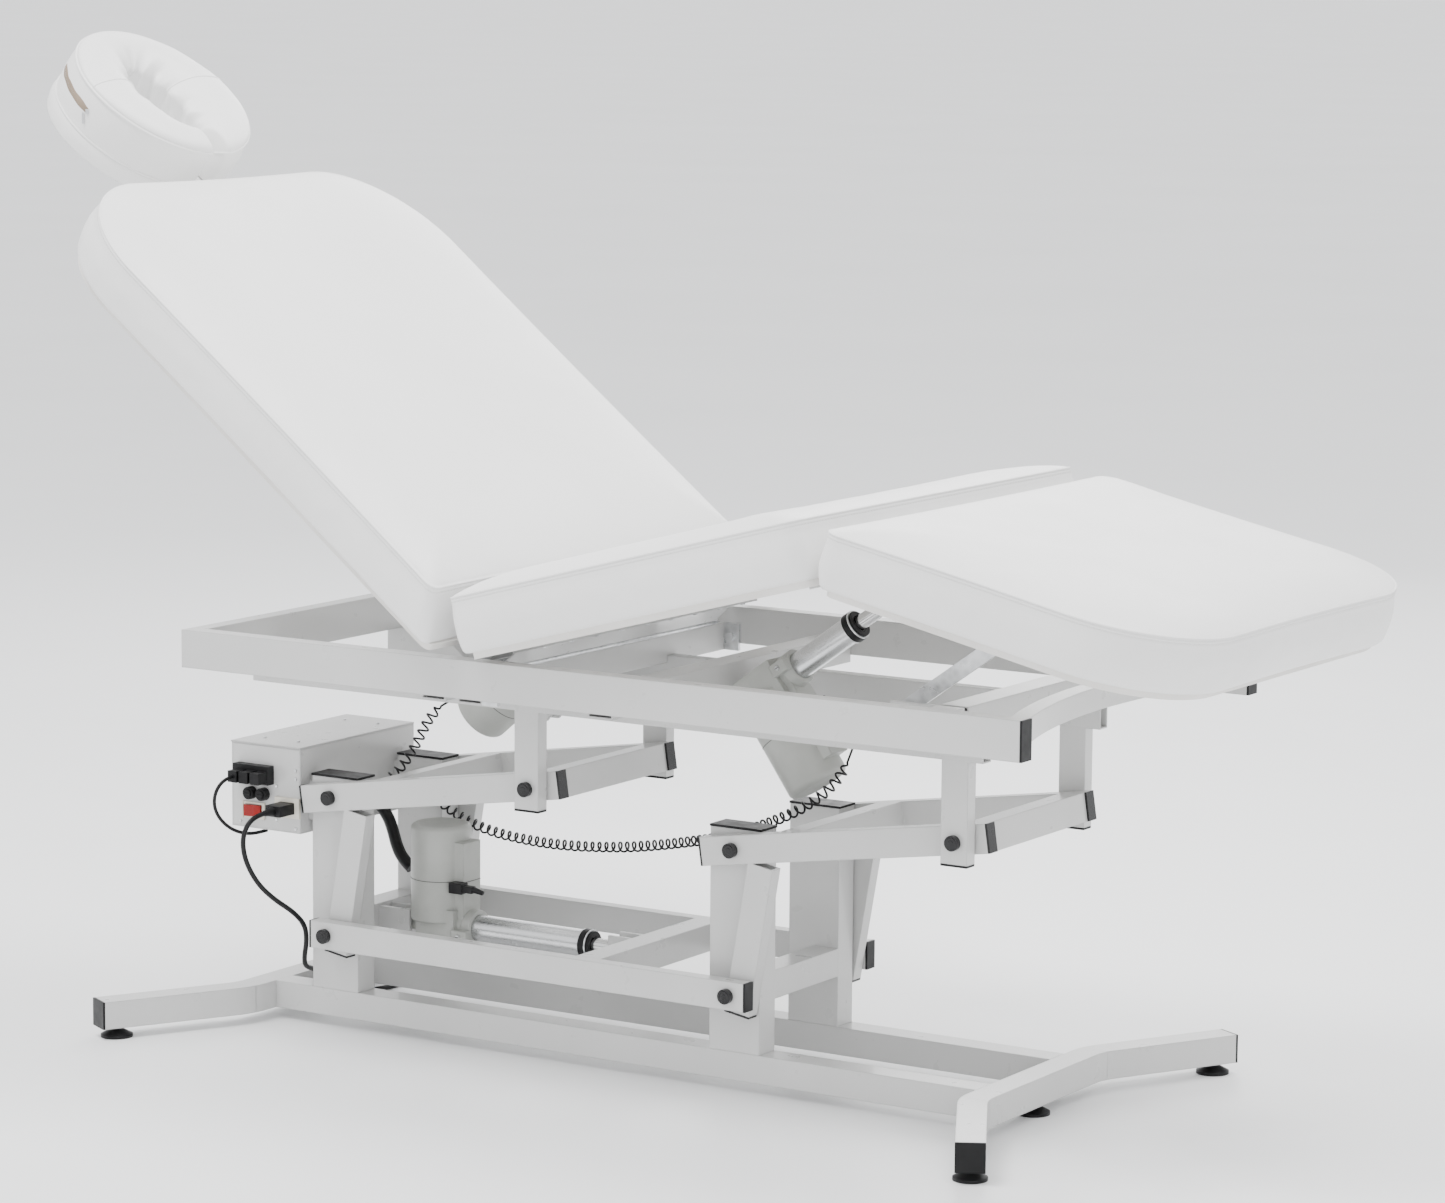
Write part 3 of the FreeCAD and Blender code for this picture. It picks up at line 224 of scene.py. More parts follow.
def moulded(name, low, high, rough=(0.36, 0.5), grain=1400.0, depth=0.12, edge=0.0008, gloss=0.5):
    s = Shader(name)
    s.set(Specular_IOR_Level=gloss)
    s.colour(s.noise(20.0, 5), low, high)
    s.roughness(s.noise(60.0, 4), *rough)
    s.bump([(s.noise(grain, 3), depth, 0.0003)], edge=edge)
    return s.material


def brushed(name, low, high, rough, stretch, scale=60.0, edge=0.0005):
    s = Shader(name)
    s.set(Metallic=1.0)
    lines = s.noise(scale, 6, 0.7, stretch)
    s.colour(lines, low, high, 0.2, 0.8)
    s.roughness(lines, *rough)
    s.bump([(lines, 0.10, 0.0003), (s.noise(25.0, 5), 0.05, 0.001)], edge=edge)
    return s.material


def zinc():
    s = Shader("zinc_plate")
    s.set(Metallic=1.0)
    cells = s.node("ShaderNodeTexVoronoi")
    cells.inputs["Scale"].default_value = 90.0
    s.link(s.coords(), cells.inputs["Vector"])
    s.colour(cells.outputs["Distance"], (0.52, 0.53, 0.54), (0.70, 0.71, 0.72), 0.1, 0.7)
    s.roughness(s.noise(70.0, 5), 0.26, 0.42)
    s.bump([(s.noise(500.0, 3), 0.12, 0.0003)], edge=0.0005)
    return s.material


def board():
    s = Shader("board_skin")
    s.colour(s.noise(8.0, 6), (0.70, 0.68, 0.65), (0.80, 0.785, 0.76))
    s.roughness(s.noise(40.0, 4), 0.5, 0.65)
    s.bump([(s.noise(300.0, 5), 0.2, 0.0005)])
    return s.material


def floor_paint():
    s = Shader("floor_paint")
    s.colour(s.noise(0.8, 3), (0.90, 0.905, 0.91), (0.93, 0.935, 0.94))
    s.roughness(s.noise(6.0, 4), 0.42, 0.55)
    s.bump([(s.noise(60.0, 3), 0.03, 0.001)])
    return s.material


BLACK = ((0.004, 0.004, 0.0045), (0.010, 0.010, 0.011))
BLACK_CAP = ((0.003, 0.003, 0.0035), (0.008, 0.008, 0.009))
BLACK_RUBBER = ((0.004, 0.004, 0.0045), (0.009, 0.009, 0.010))
CREAM = ((0.70, 0.66, 0.56), (0.78, 0.74, 0.64))
RED = ((0.23, 0.006, 0.005), (0.36, 0.012, 0.008))
HOUSING_GREY = ((0.36, 0.368, 0.345), (0.42, 0.428, 0.405))
# dark grey for the motor housings' seams: painted shade standing for the shadow in the gap between the halves
SEAM_SHADE_GREY = ((0.10, 0.10, 0.095), (0.16, 0.16, 0.155))
ANODISED = ((0.60, 0.61, 0.62), (0.80, 0.81, 0.82))
ROD_STEEL = ((0.55, 0.55, 0.55), (0.72, 0.72, 0.72))
TAPE_BROWN = ((0.20, 0.15, 0.11), (0.30, 0.23, 0.17))

MATERIALS = {
    "white_steel": powder_coat("white_powder_coat", 0.0026),
    "box_steel": powder_coat("white_box_sheet", 0.0055),
    "white_vinyl": vinyl(),
    "panel_board": board(),
    "black_plastic": moulded("black_plastic", *BLACK, gloss=0.22),
    "black_bolt": moulded("black_bolt", *BLACK_CAP, (0.2, 0.3), 900, 0.06, gloss=0.35),
    "cream_plastic": moulded("cream_plastic", *CREAM, (0.3, 0.42)),
    "red_plastic": moulded("red_plastic", *RED, (0.15, 0.25), 600, 0.05, gloss=0.3),
    "black_rubber": moulded("black_rubber", *BLACK_RUBBER, (0.34, 0.46), 1100, 0.1, gloss=0.28),
    "zinc_steel": zinc(),
    "grey_plastic": moulded("grey_housing", *HOUSING_GREY, (0.34, 0.44), 700, 0.16, edge=0.003),
    "brushed_tube": brushed("anodised_tube", *ANODISED, (0.22, 0.36), (4, 40, 40)),
    "rod_steel": brushed("rod_steel", *ROD_STEEL, (0.12, 0.24), (4, 60, 60)),
    "thread": thread(),
    "seam_shade_line": moulded("seam_shadow", *SEAM_SHADE_GREY, (0.6, 0.7), gloss=0.2),
    "zip_tape": moulded("zip_tape", *TAPE_BROWN, (0.6, 0.75), 2600, 0.5),
}
# materials that stand for a slot of another name
SHEET_NODES = ("control_box", "control_box_cover")


def paint(obj, slot):
    obj.data.materials.clear()
    obj.data.materials.append(MATERIALS[slot])


def paint_frame():
    slots = {part["node"]: part["material_slot"] for part in frame["record"]["subparts"]}
    for name, obj in frame["nodes"].items():
        if len(obj.material_slots) == 0:
            obj.data.materials.append(MATERIALS[slots[name]])
        slot = "box_steel" if name in SHEET_NODES else slots[name]
        for place in obj.material_slots:
            place.material = MATERIALS[slot]


# ---- mesh helpers ----
def piece(name, mesh, material, body, smooth=False):
    """An object of this mesh that rides on a body, under its material's slot."""
    obj = bpy.data.objects.new(name, mesh)
    bpy.context.scene.collection.objects.link(obj)
    paint(obj, material)
    for poly in mesh.polygons:
        poly.use_smooth = smooth
    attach(obj, body)
    return obj


def new_mesh(name, points, faces, material, body, smooth=True):
    mesh = bpy.data.meshes.new(name)
    mesh.from_pydata([tuple(p) for p in points], [], faces)
    mesh.update()
    return piece(name, mesh, material, body, smooth)


def face_outward(obj):
    bm = bmesh.new()
    bm.from_mesh(obj.data)
    bmesh.ops.recalc_face_normals(bm, faces=bm.faces)
    bm.to_mesh(obj.data)
    bm.free()


def join_rings(rings, closed=False):
    """Faces between rings of equal length, all going the same way round, with ends if closed."""
    count = len(rings[0])
    points = [p for ring in rings for p in ring]
    faces = []
    for r in range(len(rings) - 1):
        for i in range(count):
            j = (i + 1) % count
            faces.append((r * count + i, r * count + j, (r + 1) * count + j, (r + 1) * count + i))
    if closed:
        faces.append(tuple(reversed(range(count))))
        base = (len(rings) - 1) * count
        faces.append(tuple(base + i for i in range(count)))
    return points, faces


def solid_from(name, parts, material, body, bevel=0.0):
    """One mesh of several simple solids, each made by a function that adds to a bmesh."""
    bm = bmesh.new()
    for add in parts:
        add(bm)
    if bevel:
        sharp = [e for e in bm.edges if e.is_manifold and e.calc_face_angle(0) > 0.6]
        bmesh.ops.bevel(bm, geom=sharp, offset=bevel, segments=2, affect="EDGES", profile=0.6)
    mesh = bpy.data.meshes.new(name)
    bm.to_mesh(mesh)
    bm.free()
    return piece(name, mesh, material, body)


def turn_to(direction):
    return Vector(direction).to_track_quat("Z", "Y").to_matrix().to_4x4()


def drum(centre, direction, r1, r2, depth, sides=24):
    def add(bm):
        place = Matrix.Translation(centre) @ turn_to(direction)
        bmesh.ops.create_cone(bm, cap_ends=True, segments=sides, radius1=r1, radius2=r2, depth=depth,
                              matrix=place)
    return add


def collar(centre, direction, inner, outer, depth, sides=48):
    """A ring round an open middle."""
    def add(bm):
        place = Matrix.Translation(centre) @ turn_to(direction)
        loops = []
        for r, z in ((inner, -depth / 2), (outer, -depth / 2), (outer, depth / 2), (inner, depth / 2)):
            turns = [TAU * i / sides for i in range(sides)]
            loops.append([bm.verts.new(place @ Vector((r * math.cos(a), r * math.sin(a), z))) for a in turns])
        faces = []
        for k in range(4):
            one, two = loops[k], loops[(k + 1) % 4]
            for i in range(sides):
                j = (i + 1) % sides
                faces.append(bm.faces.new((one[i], one[j], two[j], two[i])))
        bmesh.ops.recalc_face_normals(bm, faces=faces)
    return add


def brick(centre, size, turn=None):
    def add(bm):
        place = Matrix.Translation(centre) @ (turn or Matrix.Identity(4)) @ Matrix.Diagonal((*size, 1))
        bmesh.ops.create_cube(bm, size=1.0, matrix=place)
    return add


def smooth_path(points):
    """Points read from the smooth curve that has these as its control points."""
    curve = spline_curve("path", points, 0.0)
    mesh = bpy.data.meshes.new_from_object(curve)
    line = [v.co.copy() for v in mesh.vertices]
    bpy.data.objects.remove(curve)
    return line


def spline_curve(name, points, radius, resolution=10):
    data = bpy.data.curves.new(name, "CURVE")
    data.dimensions = "3D"
    data.resolution_u = resolution
    data.bevel_depth = radius
    data.bevel_resolution = 5
    data.use_fill_caps = radius > 0
    spline = data.splines.new("NURBS")
    spline.points.add(len(points) - 1)
    for place, point in zip(spline.points, points):
        place.co = (*point, 1)
    spline.order_u = 3
    spline.use_endpoint_u = True
    obj = bpy.data.objects.new(name, data)
    bpy.context.scene.collection.objects.link(obj)
    return obj


def line_length(line):
    return sum((b - a).length for a, b in zip(line, line[1:]))


# ---- upholstery ----
class Section:
    """A flat frame along one section: u along it, y across the bed, w out of its seam plane."""

    def __init__(self, corner, tilt, towards):
        a = math.radians(tilt)
        self.corner = corner
        self.u = (towards * math.cos(a), math.sin(a))
        self.w = (-self.u[1] * towards, self.u[0] * towards)

    def place(self, u, y, w):
        x = self.corner[0] + u * self.u[0] + w * self.w[0]
        z = self.corner[1] + u * self.u[1] + w * self.w[1]
        return at(x, y, z)


BACK = Section((-269.0, 667.0), 38.2, -1)
SEAT = Section((-247.0, 656.0), 15.0, 1)
LEG = Section((314.4, 785.3), -12.3, 1)
WIDTH = 730.0
STEP = 7.0               # spacing of the points along a seam
EDGE_PULL = 3.0          # how far a straight edge is drawn in at its middle
UNDER_EDGE = [(-9.0, 0.0), (-4.0, 1.0), (-1.0, 4.5)]
SIDE_STEPS = 9
SIDE_LOW, SIDE_HIGH = 9.0, 10.0    # from the underside to the side panel, and from that up to the seam plane
SIDE_BULGE = 3.2
CROWN_REACH, SETTLE_REACH, PUCKER_REACH = 52.0, 30.0, 24.0    # how far in from the seam each of these fades
# the stitched seam, its groove and its cord: out from the outline, height and ripple
SEAM = [(0.4, -7.0, 0.3), (-0.5, -6.0, 0.2), (0.3, -5.0, 0.2), (0.7, -3.2, 0.15), (-0.3, -2.2, 0.1),
        (-0.9, -1.4, 0.1), (0.5, -0.9, 0.1), (1.0, 0.0, 0.1), (0.6, 1.0, 0.1), (-0.6, 1.5, 0.1),
        (-1.8, 0.9, 0.2)]
TOP_SHARES = [0.010, 0.018, 0.030, 0.046, 0.066, 0.09, 0.12, 0.155, 0.195, 0.24, 0.30, 0.37, 0.45, 0.54, 0.64,
              0.75, 0.87, 1.0]
UNDER_ROWS = 6           # rings held still underneath while the cover is blown out
SEAM_ROWS = (17, 28)     # rings held still along the seam
PRESSURE = 2.2
MOST_PUFF = 7 * MM
STITCH_W = -5.6
STITCH_OUT = 0.3


def pad_outline(length, near_r, far_r, step=STEP):
    """The seam's outline with rounded corners, and the direction out of it at each point."""
    half = WIDTH / 2
    corners = [(near_r, -half + near_r, near_r, 180, 270), (length - far_r, -half + far_r, far_r, 270, 360),
               (length - far_r, half - far_r, far_r, 0, 90), (near_r, half - near_r, near_r, 90, 180)]
    outline = []
    for cx, cy, r, start, end in corners:
        count = max(5, int(r * math.pi / 2 / step))
        for i in range(count + 1):
            a = math.radians(start + (end - start) * i / count)
            outline.append(((cx + r * math.cos(a), cy + r * math.sin(a)), (math.cos(a), math.sin(a))))
    full = []
    for i, (p, n) in enumerate(outline):
        full.append((p, n))
        q, _ = outline[(i + 1) % len(outline)]
        gap = math.hypot(q[0] - p[0], q[1] - p[1])
        if gap > 2 * step:
            count = int(gap / step)
            for k in range(1, count):
                f = k / count
                pull = EDGE_PULL * math.sin(math.pi * f)
                mid = (p[0] + (q[0] - p[0]) * f - n[0] * pull, p[1] + (q[1] - p[1]) * f - n[1] * pull)
                full.append((mid, n))
    return full


def wander(u, y, scale, seed):
    return noise.noise(Vector((u / scale, y / scale, seed)))


def pad_rings(outline, length, thick, crown, seed):
    """Rings from the middle of the underside, up the side, over the seam and in to the crown."""
    half = WIDTH / 2
    if length > WIDTH:
        spine = lambda p: (min(max(p[0], half), length - half), 0.0)
    else:
        spine = lambda p: (length / 2, min(max(p[1], length / 2 - half), half - length / 2))
    rings = []

    def ring(offset, w, ripple=0.0):
        made = []
        for i, (p, n) in enumerate(outline):
            t = i * STEP
            wave = ripple * (wander(t, w, 34.0, seed) + 0.5 * wander(t, w * 2, 15.0, seed + 5))
            out = offset + wave
            made.append((p[0] + n[0] * out, p[1] + n[1] * out, w))
        rings.append(made)

    def inward(share, w_of):
        made = []
        for p, _ in outline:
            q = spine(p)
            reach = math.hypot(q[0] - p[0], q[1] - p[1])
            x = p[0] + (q[0] - p[0]) * share
            y = p[1] + (q[1] - p[1]) * share
            made.append((x, y, w_of(share * reach, x, y)))
        rings.append(made)

    for share in (1.0, 0.6, 0.2, 0.08):
        inward(share, lambda d, x, y: -thick)
    for offset, rise in UNDER_EDGE:
        ring(offset, -thick + rise)
    for k in range(SIDE_STEPS + 1):
        f = k / SIDE_STEPS
        belly = SIDE_BULGE * math.sin(math.pi * f)
        w = -thick + SIDE_LOW + (thick - SIDE_LOW - SIDE_HIGH) * f
        ring(belly, w, 1.5 * math.sin(math.pi * f) + 0.25)
    for offset, w, ripple in SEAM:
        ring(offset, w, ripple)

    def top(d, x, y):
        rise = crown * (1 - math.exp(-d / CROWN_REACH))
        settle = 1.6 * wander(x, y, 130.0, seed + 9) + 0.7 * wander(x, y, 47.0, seed + 11)
        edge = math.exp(-d / PUCKER_REACH)
        pucker = 0.9 * edge * (1 - math.exp(-d / 3.0)) * wander(x, y, 16.0, seed + 3)
        return 0.7 + rise + settle * (1 - math.exp(-d / SETTLE_REACH)) + pucker

    for share in TOP_SHARES:
        inward(share, top)
    return rings


def relax(obj, pressure, cap, held, frames=20):
    """Blows the cover out a little as cloth, with the held points fixed and no point moved more than cap."""
    group = obj.vertex_groups.new(name="held")
    group.add(held, 1.0, "REPLACE")
    before = [v.co.copy() for v in obj.data.vertices]
    cloth = obj.modifiers.new("Cloth", "CLOTH")
    cloth.settings.quality = 4
    cloth.settings.mass = 0.35
    cloth.settings.tension_stiffness = 30.0
    cloth.settings.compression_stiffness = 22.0
    cloth.settings.shear_stiffness = 14.0
    cloth.settings.bending_stiffness = 2.0
    cloth.settings.use_pressure = True
    cloth.settings.uniform_pressure_force = pressure
    cloth.settings.effector_weights.gravity = 0.0
    cloth.settings.vertex_group_mass = "held"
    cloth.collision_settings.use_collision = False
    cloth.point_cache.frame_start = 1
    cloth.point_cache.frame_end = frames
    scene = bpy.context.scene
    for step in range(1, frames + 1):
        scene.frame_set(step)
    result = obj.evaluated_get(bpy.context.evaluated_depsgraph_get())
    after = [v.co.copy() for v in result.data.vertices]
    obj.modifiers.remove(cloth)
    obj.vertex_groups.remove(group)
    for v, old, new in zip(obj.data.vertices, before, after):
        move = new - old
        if move.length > cap:
            move = move.normalized() * cap
        v.co = old + move
    scene.frame_set(1)


def stitches(name, places, body, size=(3.2, 0.9, 0.7)):
    """Short threads, each given as its middle, its run and the way out of the surface."""
    bm = bmesh.new()
    for middle, run, out in places:
        run = run.normalized()
        side = out.cross(run).normalized()
        out = run.cross(side)
        turn = Matrix((run, side, out)).transposed().to_4x4()
        place = Matrix.Translation(middle) @ turn @ Matrix.Diagonal([v * MM for v in size] + [1])
        bmesh.ops.create_icosphere(bm, subdivisions=1, radius=0.5, matrix=place)
    mesh = bpy.data.meshes.new(name)
    bm.to_mesh(mesh)
    bm.free()
    piece(name, mesh, "thread", body, smooth=True)


def pad(name, node, body, section, length, near_r, far_r, thick, crown, seed, shape=None):
    outline = pad_outline(length, near_r, far_r)
    rings = pad_rings(outline, length, thick, crown, seed)
    shape = shape or (lambda u, y, w: (u, y, w))
    placed = [[section.place(*shape(*p)) for p in ring] for ring in rings]
    points, faces = join_rings(placed)
    obj = new_mesh(name, points, faces, "white_vinyl", body)
    count = len(outline)
    held = [i for i in range(len(points))
            if i // count < UNDER_ROWS or SEAM_ROWS[0] <= i // count <= SEAM_ROWS[1]]
    relax(obj, PRESSURE, MOST_PUFF, held)
    bm = bmesh.new()
    bm.from_mesh(obj.data)
    bmesh.ops.remove_doubles(bm, verts=bm.verts, dist=0.00005)
    bmesh.ops.recalc_face_normals(bm, faces=bm.faces)
    bm.to_mesh(obj.data)
    bm.free()
    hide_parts(node)
    places = []
    for i in range(count):
        (p, n), (q, _) = outline[i], outline[(i + 1) % count]
        if math.hypot(q[0] - p[0], q[1] - p[1]) < 0.5:
            continue
        start = section.place(*shape(p[0], p[1], STITCH_W))
        end = section.place(*shape(q[0], q[1], STITCH_W))
        out = section.place(*shape(p[0] + n[0], p[1] + n[1], STITCH_W)) - start
        mid = ((p[0] + q[0]) / 2 + n[0] * STITCH_OUT, (p[1] + q[1]) / 2 + n[1] * STITCH_OUT)
        places.append((section.place(*shape(*mid, STITCH_W)), end - start, out))
    stitches(name + "_stitches", places, body)
    return obj


HIP_LEAN, LEAN_DEPTH, LEAN_LENGTH = 42.0, 78.0, 260.0


def back_shape(u, y, w):
    """The hip end leans out towards the hinge below its seam."""
    lean = HIP_LEAN * max(0.0, -w) / LEAN_DEPTH * max(0.0, 1 - u / LEAN_LENGTH)
    return u - lean, y, w


def make_pads():
    pad("back_pad", "back_cushion", "back_section", BACK, length=790.0, near_r=14.0, far_r=165.0, thick=69.0,
        crown=20.0, seed=1.0, shape=back_shape)
    pad("seat_pad", "seat_cushion", "seat_section", SEAT, length=535.0, near_r=16.0, far_r=20.0, thick=74.0,
        crown=20.0, seed=2.0)
    pad("leg_pad", "leg_cushion", "leg_section", LEG, length=493.5, near_r=20.0, far_r=152.0, thick=71.0,
        crown=15.0, seed=3.0)


# ---- face cradle ----
CRADLE_HALF = 132.0      # half the horseshoe's length
CRADLE_U = 815.0 + CRADLE_HALF
HOLE_HALF = 78.0
HOLE_SIDE = 52.0
SOLID_SIDE = 137.0
FAR_SIDE, NEAR_SIDE = 145.0, 139.0
ARM_GAP = 14.0           # half the gap between the tips
ARM_TIP = 9.0            # how much the rounded tips add past the path's ends
PATH_STEPS, TIP_STEPS = 160, 7
TIP_FADE = 0.10
INNER_DROP = 13.0        # how far the top has rolled down at the hole's edge
FOLD_START = 0.3         # the share of the half width inside which the cover gathers
ROUND = 800.0            # about the length round the outside, for the ripples


def cradle_path(steps, tip):
    """Points round the horseshoe, each with its outer and inner edge, from one tip to the other."""
    tip_out = math.asin((ARM_GAP + tip) / SOLID_SIDE)
    tip_in = math.asin((ARM_GAP + tip) / HOLE_SIDE)
    path = []
    for i in range(steps + 1):
        f = i / steps
        a = tip_out + (TAU - 2 * tip_out) * f
        b = tip_in + (TAU - 2 * tip_in) * f
        wide = FAR_SIDE if math.sin(a) > 0 else NEAR_SIDE
        outer = Vector((CRADLE_U - CRADLE_HALF * math.cos(a), wide * math.sin(a)))
        inner = Vector((CRADLE_U - HOLE_HALF * math.cos(b), HOLE_SIDE * math.sin(b)))
        path.append((outer, inner))
    return path


def pad_profile(low, edge, crown, overhang):
    """Once round an arm's section: out as a share of its half width, a push outward, height, and kind."""
    drop = INNER_DROP * (1 if crown else 0)
    points = []
    for k in range(9):
        f = k / 9
        push = 2.2 * math.sin(math.pi * f) - 2.0 * f ** 12
        points.append((1.0, push, low + 2 + (edge - low - 2) * f, "side"))
    for k in range(21):
        c = math.cos(math.pi * k / 20)
        rise = crown * math.sin(math.pi * k / 20) ** 0.75 if k not in (0, 20) else 0.0
        fall = drop * max(0.0, -c) ** 2.2
        push = -overhang * max(0.0, -c) ** 1.6 - 1.6 * (k == 0)
        points.append((c, push, edge + rise - fall, "top"))
    for k in range(1, 10):
        f = k / 10
        points.append((-1.0, -overhang * (1 - f) ** 1.5, edge - drop + (low + 2 - edge + drop) * f, "inside"))
    for k in range(9):
        points.append((-1.0 + 2.0 * k / 8, 0.0, low, "under"))
    return points


def away_from_tips(t):
    """0 at either tip of the horseshoe, growing to 1 over the nearest tenth of its path."""
    return min(1.0, t / TIP_FADE, (1 - t) / TIP_FADE)


def cradle_ripple(kind, x, w, t, folds, seed):
    """How far the cover stands out, t of the way round: gathers in the hole, small waves outside."""
    if kind == "side":
        depth = 3.4 if t < 0.5 else 1.4
        return depth * wander(t * ROUND, w * 0.4, 30.0, seed + 4)
    if kind == "inside" or x < -FOLD_START:
        ramp = 1.0 if kind == "inside" else (-x - FOLD_START) / (1 - FOLD_START)
        gather = wander(t * 760.0, w * 0.5, 27.0, seed) + 0.3 * math.sin(t * 70.0)
        return -folds * away_from_tips(t) * ramp * gather
    return 0.4 * wander(t * ROUND, x * 40.0, 40.0, seed + 7)


def cradle_pad(name, node, low, edge, crown, overhang, folds, seed, tip=ARM_TIP):
    """One cushion of the cradle; gives back its path, its rings and the line round its outer edge."""
    path = cradle_path(PATH_STEPS, tip)
    profile = pad_profile(low, edge, crown, overhang)
    sections = [(path[0], 1 - k / TIP_STEPS, 0.0) for k in range(TIP_STEPS)]
    sections += [(pair, 0.0, i / PATH_STEPS) for i, pair in enumerate(path)]
    sections += [(path[-1], -k / TIP_STEPS, 1.0) for k in range(1, TIP_STEPS + 1)]
    middle = (low + edge) / 2
    rings, rim = [], []
    for (outer, inner), end, t in sections:
        swell = (1 - abs(end) ** 3) ** (1 / 3)
        wide_share = 0.45 + 0.55 * swell
        tall_share = 0.55 + 0.45 * swell
        centre = (outer + inner) / 2 - Vector((0.0, math.copysign(tip * abs(end), end) if end else 0.0))
        half = (outer - inner).length / 2
        direction = (outer - inner).normalized()
        fade = away_from_tips(t)
        ring = []
        for x, push, w, kind in profile:
            ripple = cradle_ripple(kind, x, w, t, folds, seed)
            if crown and kind == "top":
                w += 1.2 * wander(t * ROUND, x * 50.0, 55.0, seed + 8)
            reach = half * x * wide_share + (push if push >= 0 else push * fade)
            spot = centre + direction * (reach + ripple * swell)
            ring.append(BACK.place(spot.x, spot.y, middle + (w - middle) * tall_share))
        rings.append(ring)
        out = centre + direction * half * wide_share
        rim.append(BACK.place(out.x, out.y, middle + (edge + 0.4 - middle) * tall_share))
    points, faces = join_rings(rings, closed=True)
    obj = new_mesh(name, points, faces, "white_vinyl", "cradle")
    face_outward(obj)
    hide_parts(node)
    return path, rings, rim


def seam_cord(name, line, radius):
    curve = spline_curve(name, line, radius * MM, 2)
    curve.data.bevel_resolution = 3
    curve.data.materials.append(MATERIALS["white_vinyl"])
    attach(curve, "cradle")


def make_cradle():
    path, rings, rim = cradle_pad("cradle_pad", "cradle_cushion", low=-38.0, edge=22.0, crown=15.0,
                                  overhang=14.0, folds=8.0, seed=21.0)
    low_rim = cradle_pad("cradle_under_pad", "cradle_base_pad", low=-65.5, edge=-38.5, crown=0.0,
                         overhang=0.0, folds=0.0, seed=31.0)[2]
    seam_cord("cradle_top_piping", rim, 2.0)
    seam_cord("cradle_low_piping", low_rim, 1.7)
    for side, index in (("far", 48), ("near", 126)):
        seam_cord("cradle_cross_seam_" + side, rings[index][9:30], 1.1)
    zip_strip(path)


ZIP_FIRST, ZIP_LAST = 100, 122     # the steps of the cradle's path where the zip starts and ends
ZIP_W = -5.5
TAPE = [(-11.0, 0.6), (-8.0, 1.5), (-3.0, 1.5), (0.0, 0.6)]


def zip_strip(path):
    """A closed zip in a tape along the outer side at the head end."""
    tape, teeth = [], []
    for outer, inner in path[ZIP_FIRST:ZIP_LAST + 1]:
        arm = (outer - inner).normalized()
        tape.append([BACK.place(outer.x + arm.x * out, outer.y + arm.y * out, w) for w, out in TAPE])
        teeth.append((outer, arm))
    width = len(TAPE)
    points = [p for ring in tape for p in ring]
    faces = []
    for r in range(len(tape) - 1):
        for i in range(width - 1):
            a = r * width + i
            faces.append((a, a + 1, a + 1 + width, a + width))
    obj = new_mesh("cradle_zip_tape", points, faces, "zip_tape", "cradle", smooth=False)
    thick = obj.modifiers.new("thick", "SOLIDIFY")
    thick.thickness = 1.2 * MM
    rows = []
    for (p, arm), (q, _) in zip(teeth, teeth[1:]):
        for part in range(3):
            spot = p + (q - p) * (part / 3) + arm * 2.0
            for row in (-0.9, 0.9):
                rows.append(brick(BACK.place(spot.x, spot.y, ZIP_W + row), (1.1 * MM, 1.1 * MM, 1.3 * MM)))
    solid_from("cradle_zip_teeth", rows, "brushed_tube", "cradle")
    p, arm = teeth[-1]
    slider, tab = p + arm * 3.0, p + arm * 4.0
    pull = [brick(BACK.place(slider.x, slider.y, ZIP_W), (5 * MM, 3 * MM, 7 * MM)),
            brick(BACK.place(tab.x, tab.y, -17.0), (3.5 * MM, 1.2 * MM, 16 * MM))]
    solid_from("cradle_zip_pull", pull, "brushed_tube", "cradle", bevel=0.4 * MM)


# ---- leads ----
MAINS_ROUTE = [(-681, -186, 303), (-681, -204, 302), (-684, -218, 294), (-688, -225, 276), (-689, -222, 252),
               (-685, -214, 228), (-676, -202, 204), (-662, -186, 184), (-650, -163, 166), (-646, -141, 144),
               (-652, -130, 118), (-664, -120, 94), (-675, -104, 76), (-682, -78, 67), (-686, -46, 53),
               (-688, -10, 34), (-689, 28, 17), (-691, 64, 8), (-692, 98, 4), (-689, 132, 3.5),
               (-680, 164, 3.5), (-669, 194, 3.5), (-664, 222, 3.5)]
COIL_X, COIL_Y = -622.0, 232.0
COIL_LAYERS = [(41.0, 3.6), (33.9, 3.6), (33.9, 10.7), (41.0, 10.7), (41.0, 17.6), (33.9, 17.6)]
COIL_PER_TURN = 16
MAINS_R, CONTROL_R, CONDUIT_R = 3.5, 2.5, 8.5
CURL_R, CURL_WIRE_R, CURL_PITCH = 6.4 * MM, 1.5 * MM, 12.5 * MM
CURL_PER_TURN = 16
CURL_TAILS = 0.05        # straight length left at the two ends together, in metres
CONTROL_ROUTE = [(-752.5, -166, 344), (-754, -182, 342), (-760, -192, 328), (-766, -190, 308),
                 (-766, -180, 288), (-760, -164, 271), (-752, -144, 261), (-746, -122, 258),
                 (-742, -102, 260)]
CONDUIT_ROUTE = [(-655, 20, 300), (-641, 20, 293), (-622, 19, 274), (-612, 17, 255), (-604, 14, 236),
                 (-592, 12, 218), (-576, 11, 207)]
LEG_ROUTE = [(-603, 62, 326.5), (-584, 62, 312), (-560, 62, 292), (-520, 61, 273), (-470, 58, 262),
             (-410, 53, 258), (-348, 46, 259), (-286, 40, 264), (-224, 33, 272), (-162, 24, 284),
             (-102, 12, 298), (-46, -12, 312), (4, -34, 330), (52, -50, 350), (98, -54, 372),
             (132, -42, 398), (146, -20, 426), (147, -2, 456)]
BACK_ROUTE = [(-603, -52, 326.5), (-583, -50, 334), (-562, -45, 350), (-546, -38, 372), (-535, -28, 398),
              (-527, -18, 424), (-512, -9, 446), (-490, -2, 458)]


